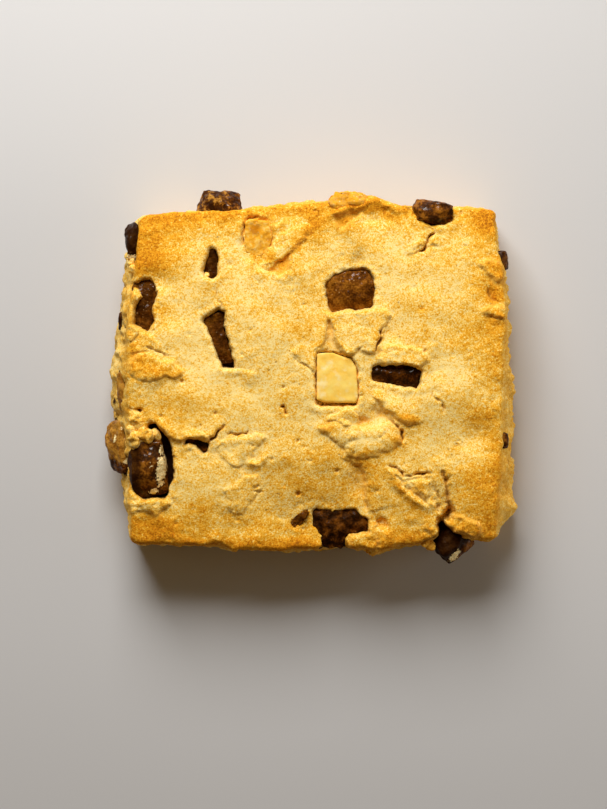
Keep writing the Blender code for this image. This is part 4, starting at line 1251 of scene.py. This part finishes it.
for seed, (name, top, thick, wider, dark, outline, facets) in enumerate(BLOCKS):
    # a bar as thick as the chunk, cut to its outline and set out by the width that it melted
    bar = bmesh.new()
    corners = [bar.verts.new((x, y, top - thick)) for x, y in outline]
    made = bmesh.ops.extrude_face_region(bar, geom=[bar.faces.new(corners)], use_keep_orig=True)
    upper = [item for item in made["geom"] if isinstance(item, bmesh.types.BMVert)]
    bmesh.ops.translate(bar, verts=upper, vec=(0, 0, thick))
    bmesh.ops.recalc_face_normals(bar, faces=bar.faces)
    bar.normal_update()
    moves = [vert.normal * vert.calc_shell_factor() * wider for vert in bar.verts]
    for vert, move in zip(bar.verts, moves):
        vert.co += Vector((move.x, move.y, 0))
    ridge = [e for e in bar.edges if all(vert in upper for vert in e.verts)]
    bmesh.ops.bevel(bar, geom=ridge, offset=BEVEL, segments=3, profile=0.5, affect="EDGES", material=-1)
    block = remeshed(bar)
    for vert in block.verts:
        for x, y, height, rise_x, rise_y in facets:
            slope = height + rise_x * (vert.co.x - x) + rise_y * (vert.co.y - y)
            vert.co.z = min(vert.co.z, slope + MELTED_DOWN * (vert.co.z - slope))
    slot = slot_of(name)
    chips, melt = (0.05, 0.08) if slot == "white_chocolate" else (0.16 + 0.2 * dark, 0.2)
    worked_skin(block, 50 + 3 * seed, chips, melt)
    x, y, _ = np.array([vert.co for vert in block.verts]).T
    if name == "white_browned":
        dark = strongest(x, y, TOASTED)
    piece = place(block, name, "chunk_" + name, finishes[slot])
    paint(piece, dark=dark, pitted=0.35)

# ---------------------------------------------------------------------------------------------
# The chunks in the walls and the large one in the left of the crust. They stood at the cut faces
# and melted in the oven, so they are rounded, glossy, and smeared with dough.
# ---------------------------------------------------------------------------------------------
ROUNDED = {
    "milk_large": ((-32.9, -18.0, 14.8), (3.7, 5.8, 3.2), 8),
    **WALL_CHUNKS,
}
CUTS = 26
CUTS_LARGE = 34
# How uneven they are, and how many broken faces they have: what stands out further than this
# share of the half size is mostly broken off
UNEVEN = 0.12
BROKEN_FACES = 7
BREAK_AT = 0.93
BROKEN_OFF = 0.85
# how round each is (a block is 0, an egg 1), how rugged, how dark, and how much like toffee, from -1
FORMS = {
    "milk_large": (0.58, 0.16, 0.2, -1.0),
    "dark_left_wall": (0.5, 0.25, 1.1, -1.0),
    "milk_left_wall": (0.55, 0.25, 0.0, 1.0),
    "milk_left_seam": (0.5, 0.15, 0.0, 1.0),
    "dark_left_speck": (0.5, 0.2, 0.9, -1.0),
    "milk_back_wall": (0.5, 0.25, 0.6, 0.3),
    "milk_back_corner": (0.4, 0.2, 0.1, -1.0),
    "white_back_browned": (0.45, 0.32, 0.42, -1.0),
    "milk_right_wall": (0.5, 0.2, 0.7, -1.0),
    "milk_right_speck": (0.5, 0.15, 0.4, -1.0),
    "dark_front_corner": (0.4, 0.3, 1.1, -1.0),
}
# pale dough smeared over them: (the lowest height, then x, y, half length, half width, turn in
# degrees and how much)
SMEARS = {
    "milk_large": (14.0, (
        (-30.1, -14.5, 1.0, 0.7, 75, 1.1),
        (-30.2, -18.4, 2.9, 1.0, 82, 1.2),
        (-30.4, -21.2, 1.2, 0.7, 70, 0.9),
        (-31.8, -22.9, 1.2, 0.6, 15, 1.1),
        (-32.2, -17.6, 1.4, 0.7, 80, 0.4),
    )),
    "milk_left_wall": (7.5, (
        (-37.4, -16.6, 1.6, 0.5, 50, 0.9),
        (-38.2, -9.8, 1.4, 0.45, 70, 0.8),
        (-40.0, -12.4, 1.5, 0.4, 80, 0.75),
    )),
    "dark_front_corner": (9.5, ((28.9, -35.9, 1.9, 0.8, 50, 1.1),)),
}


def melted_chocolate(s):
    """Milk chocolate that has run and set again: dark, wet-looking, streaked with pale dough."""
    cloud = s.spots(2.2, 61, detail=4, rough=0.6)
    fine = s.spots(0.45, 62, detail=3)
    tone = cloud + (fine - 0.5) * 0.4
    colour = tone.ramp(
        (0.40, (0.030, 0.007, 0.0005)), (0.51, (0.120, 0.033, 0.002)), (0.64, (0.340, 0.120, 0.009))
    )
    colour = (s.field("dark") * 0.85).mixed(colour, (0.018, 0.004, 0.0004, 1))
    toffee = s.field("toffee") + (cloud - 0.5) * 1.6 + (fine - 0.5) * 0.8
    soft = (cloud + (fine - 0.5) * 0.8).between(0.35, 0.65)
    soft = soft.mixed((0.27, 0.10, 0.008, 1), (0.50, 0.235, 0.03, 1))
    colour = toffee.between(0.3, 0.7).mixed(colour, soft)
    patch = (s.field("smear") + (fine - 0.5) * 1.5 + (cloud - 0.5) * 0.8).between(0.45, 0.62)
    wisps = s.spots(0.3, 64).between(0.35, 0.6)
    colour = patch.mixed(colour, wisps.mixed((0.88, 0.56, 0.18, 1), (1.0, 0.86, 0.46, 1)))
    height = cloud * 0.7 + fine * 0.4 + patch * 0.3
    glint = s.spots(0.9, 63).between(0.5, 0.64) * (1 - patch) * s.field("gloss") * 0.6
    return {
        "Base Color": colour,
        "Roughness": 0.4 + fine * 0.3,
        "Coat Weight": glint,
        "Normal": height.bumped(0.35),
    }


melted_finish = surface(
    "melted chocolate", melted_chocolate, Specular_IOR_Level=0.1, Specular_Tint=(1.0, 0.65, 0.3, 1.0),
    Coat_Roughness=0.15,
)

for seed, (name, (centre, half_sizes, turn)) in enumerate(ROUNDED.items()):
    roundness, rugged, dark, toffee = FORMS[name]
    lump = bmesh.new()
    bmesh.ops.create_cube(lump, size=2)
    cuts = CUTS_LARGE if name == "milk_large" else CUTS
    bmesh.ops.subdivide_edges(lump, edges=lump.edges, cuts=cuts, use_grid_fill=True)
    for vert in lump.verts:
        vert.co = vert.co.lerp(vert.co.normalized() * BULGE, roundness)
        vert.co *= 1 + UNEVEN * noise.noise(vert.co * 1.3 + Vector((seed * 7.7, 0, 0)))
    for face in range(BROKEN_FACES):
        around, up = 2.4 * face + seed, 1.9 * face + 3 * seed
        side = Vector((math.sin(around), math.cos(around), math.sin(up))).normalized()
        for vert in lump.verts:
            over = vert.co.dot(side) - BREAK_AT
            vert.co -= side * BROKEN_OFF * max(over, 0)
    lump.transform(Matrix.Diagonal((*half_sizes, 1)))
    lump.transform(Matrix.Rotation(math.radians(turn), 4, "Z"))
    lump.transform(Matrix.Translation(centre))
    worked_skin(lump, 90 + 3 * seed, rugged, 1.6 * rugged)
    x, y, z = np.array([vert.co for vert in lump.verts]).T
    slot = slot_of(name)
    finish = finishes[slot] if slot == "browned_chocolate" else melted_finish
    piece = place(lump, name, "chunk_" + name, finish)

    # what differs over its surface
    smear, gloss = 0, 1
    if name in SMEARS:
        lowest, spots = SMEARS[name]
        smear = strongest(x, y, spots) * clamped(z - lowest)
    if name == "milk_large":
        dark = dark + 0.8 * clamped((-33.6 - x) / 1.4)
        gloss = np.clip((x + 34.8) / 1.0, 0.05, 1)
    elif name == "milk_back_wall":
        dark = dark * clamped((-17.0 - x) / 2.0)
    elif name == "dark_left_wall":
        smear = 0.9 * clamped((25.6 - y) / 1.5)
    elif name == "dark_front_corner":
        # painted shade: the part of it back in the dark hole is painted darker and given less gloss
        to_corner = 0.62 * x - 0.78 * y  # how far along to its free face
        dark = dark * np.clip((46.2 - to_corner) / 1.0, 0.3, 1)
        gloss = np.clip((to_corner - 45.2) / 1.0, 0.1, 1)
    elif name == "milk_left_wall":
        toffee = toffee - 0.9 * clamped((-16.0 - y) / 2.0)
    paint(piece, smear=smear, dark=dark, gloss=gloss, toffee=toffee, pitted=1)

# ---------------------------------------------------------------------------------------------
# Crumbs. Lumps of dough that broke off at the torn edges and baked where they lay, the largest
# of them over the back end of the large milk chunk.
# ---------------------------------------------------------------------------------------------
# where each lies and how large it is: (x, y, z, radius)
CRUMBS = (
    (-35.8, -6.9, 17.3, 0.9),
    (-35.2, -8.2, 17.5, 1.5),
    (-34.6, -9.4, 17.3, 1.1),
    (-36.2, -10.6, 17.0, 1.1),
    (-35.4, -12.3, 17.4, 1.7),
    (-33.5, -11.4, 17.9, 1.6),
    (-32.6, -11.9, 17.5, 1.0),
    (-31.3, -11.3, 16.4, 1.2),
    (-21.2, 20.5, 16.8, 0.8),
    (12.4, -34.4, 15.0, 1.4),
    (13.9, -33.9, 15.6, 1.0),
    (15.4, -32.9, 15.8, 1.1),
    (22.7, -33.2, 14.6, 1.1),
    (23.9, -33.9, 14.0, 1.2),
    (-15.6, -34.2, 15.2, 1.0),
    (-36.5, 23.3, 15.2, 1.0),
    (-36.0, 22.0, 15.8, 1.0),
    (-37.3, 24.6, 13.4, 0.8),
)
crumbs = bmesh.new()
for *centre, radius in CRUMBS:
    for vert in bmesh.ops.create_icosphere(crumbs, subdivisions=4, radius=radius)["verts"]:
        spot = vert.co + Vector(centre)
        vert.co *= 0.92 + 0.5 * noise.noise(spot / 1.5) + 0.14 * noise.noise(spot / 0.5)
        vert.co.z *= 0.8
        vert.co += Vector(centre)
_, cy, cz = np.array([vert.co for vert in crumbs.verts]).T
loose = place(crumbs, "loose_crumbs", None, dough_finish)
# they are browner the higher they lie, and along the front edge
brown = 0.15 + 0.25 * clamped((cz - 17.6) / 1.2) + 0.3 * clamped((-30 - cy) / 3)
paint(loose, brown=brown, crumbly=0.3, stain=0, deep=0, hollow=0)

# ---------------------------------------------------------------------------------------------
# The set: a plain pale floor, one large soft light behind and a little to the left, a weak one low
# at the right, a little light all round, and a camera that looks straight down.
# ---------------------------------------------------------------------------------------------
floor_bm = bmesh.new()
bmesh.ops.create_grid(floor_bm, x_segments=1, y_segments=1, size=2.0)
floor_mesh = bpy.data.meshes.new("floor")
floor_bm.to_mesh(floor_mesh)
floor_bm.free()
floor = added("floor", floor_mesh)
floor_mesh.materials.append(
    surface("pale floor", lambda s: {}, Base_Color=(0.60, 0.59, 0.58, 1), Roughness=0.6)
)


def soft_light(name, place_m, aim_m, size_m, watts):
    """A square lamp that faces a point."""
    lamp = bpy.data.lights.new(name, "AREA")
    lamp.size = size_m
    lamp.energy = watts
    holder = added(name, lamp)
    holder.location = place_m
    holder.rotation_euler = (Vector(aim_m) - Vector(place_m)).to_track_quat("-Z", "Y").to_euler()


soft_light("window", (-0.07, 0.32, 0.29), (0, 0, 0.01), 0.26, 2.58)
soft_light("reflector", (0.32, 0.0, 0.07), (0, 0, 0.01), 0.16, 0.32)

world = bpy.data.worlds.new("room")
world.use_nodes = True
glow = world.node_tree.nodes["Background"]
glow.inputs["Color"].default_value = (1, 0.63, 0.22, 1)
glow.inputs["Strength"].default_value = 0.09
bpy.context.scene.world = world
bpy.context.scene.view_settings.view_transform = "Standard"

# The photograph is 809 pixels long, 5 for each millimetre at the crust's height, and its middle
# lies a little to the left and in front of the middle of the shortbread.
PHOTO_LENGTH = 809
PIXELS_PER_MM = 5
PHOTO_MIDDLE = (-1.7 * MM, -5.4 * MM)
LENS = 100.0
SENSOR = 36.0
LONG_SIDE = PHOTO_LENGTH / PIXELS_PER_MM * MM
camera_data = bpy.data.cameras.new("camera")
camera_data.lens = LENS
camera_data.sensor_width = SENSOR
camera = added("camera", camera_data)
camera.location = (*PHOTO_MIDDLE, CRUST_HEIGHT * MM + LONG_SIDE * LENS / SENSOR)
bpy.context.scene.camera = camera
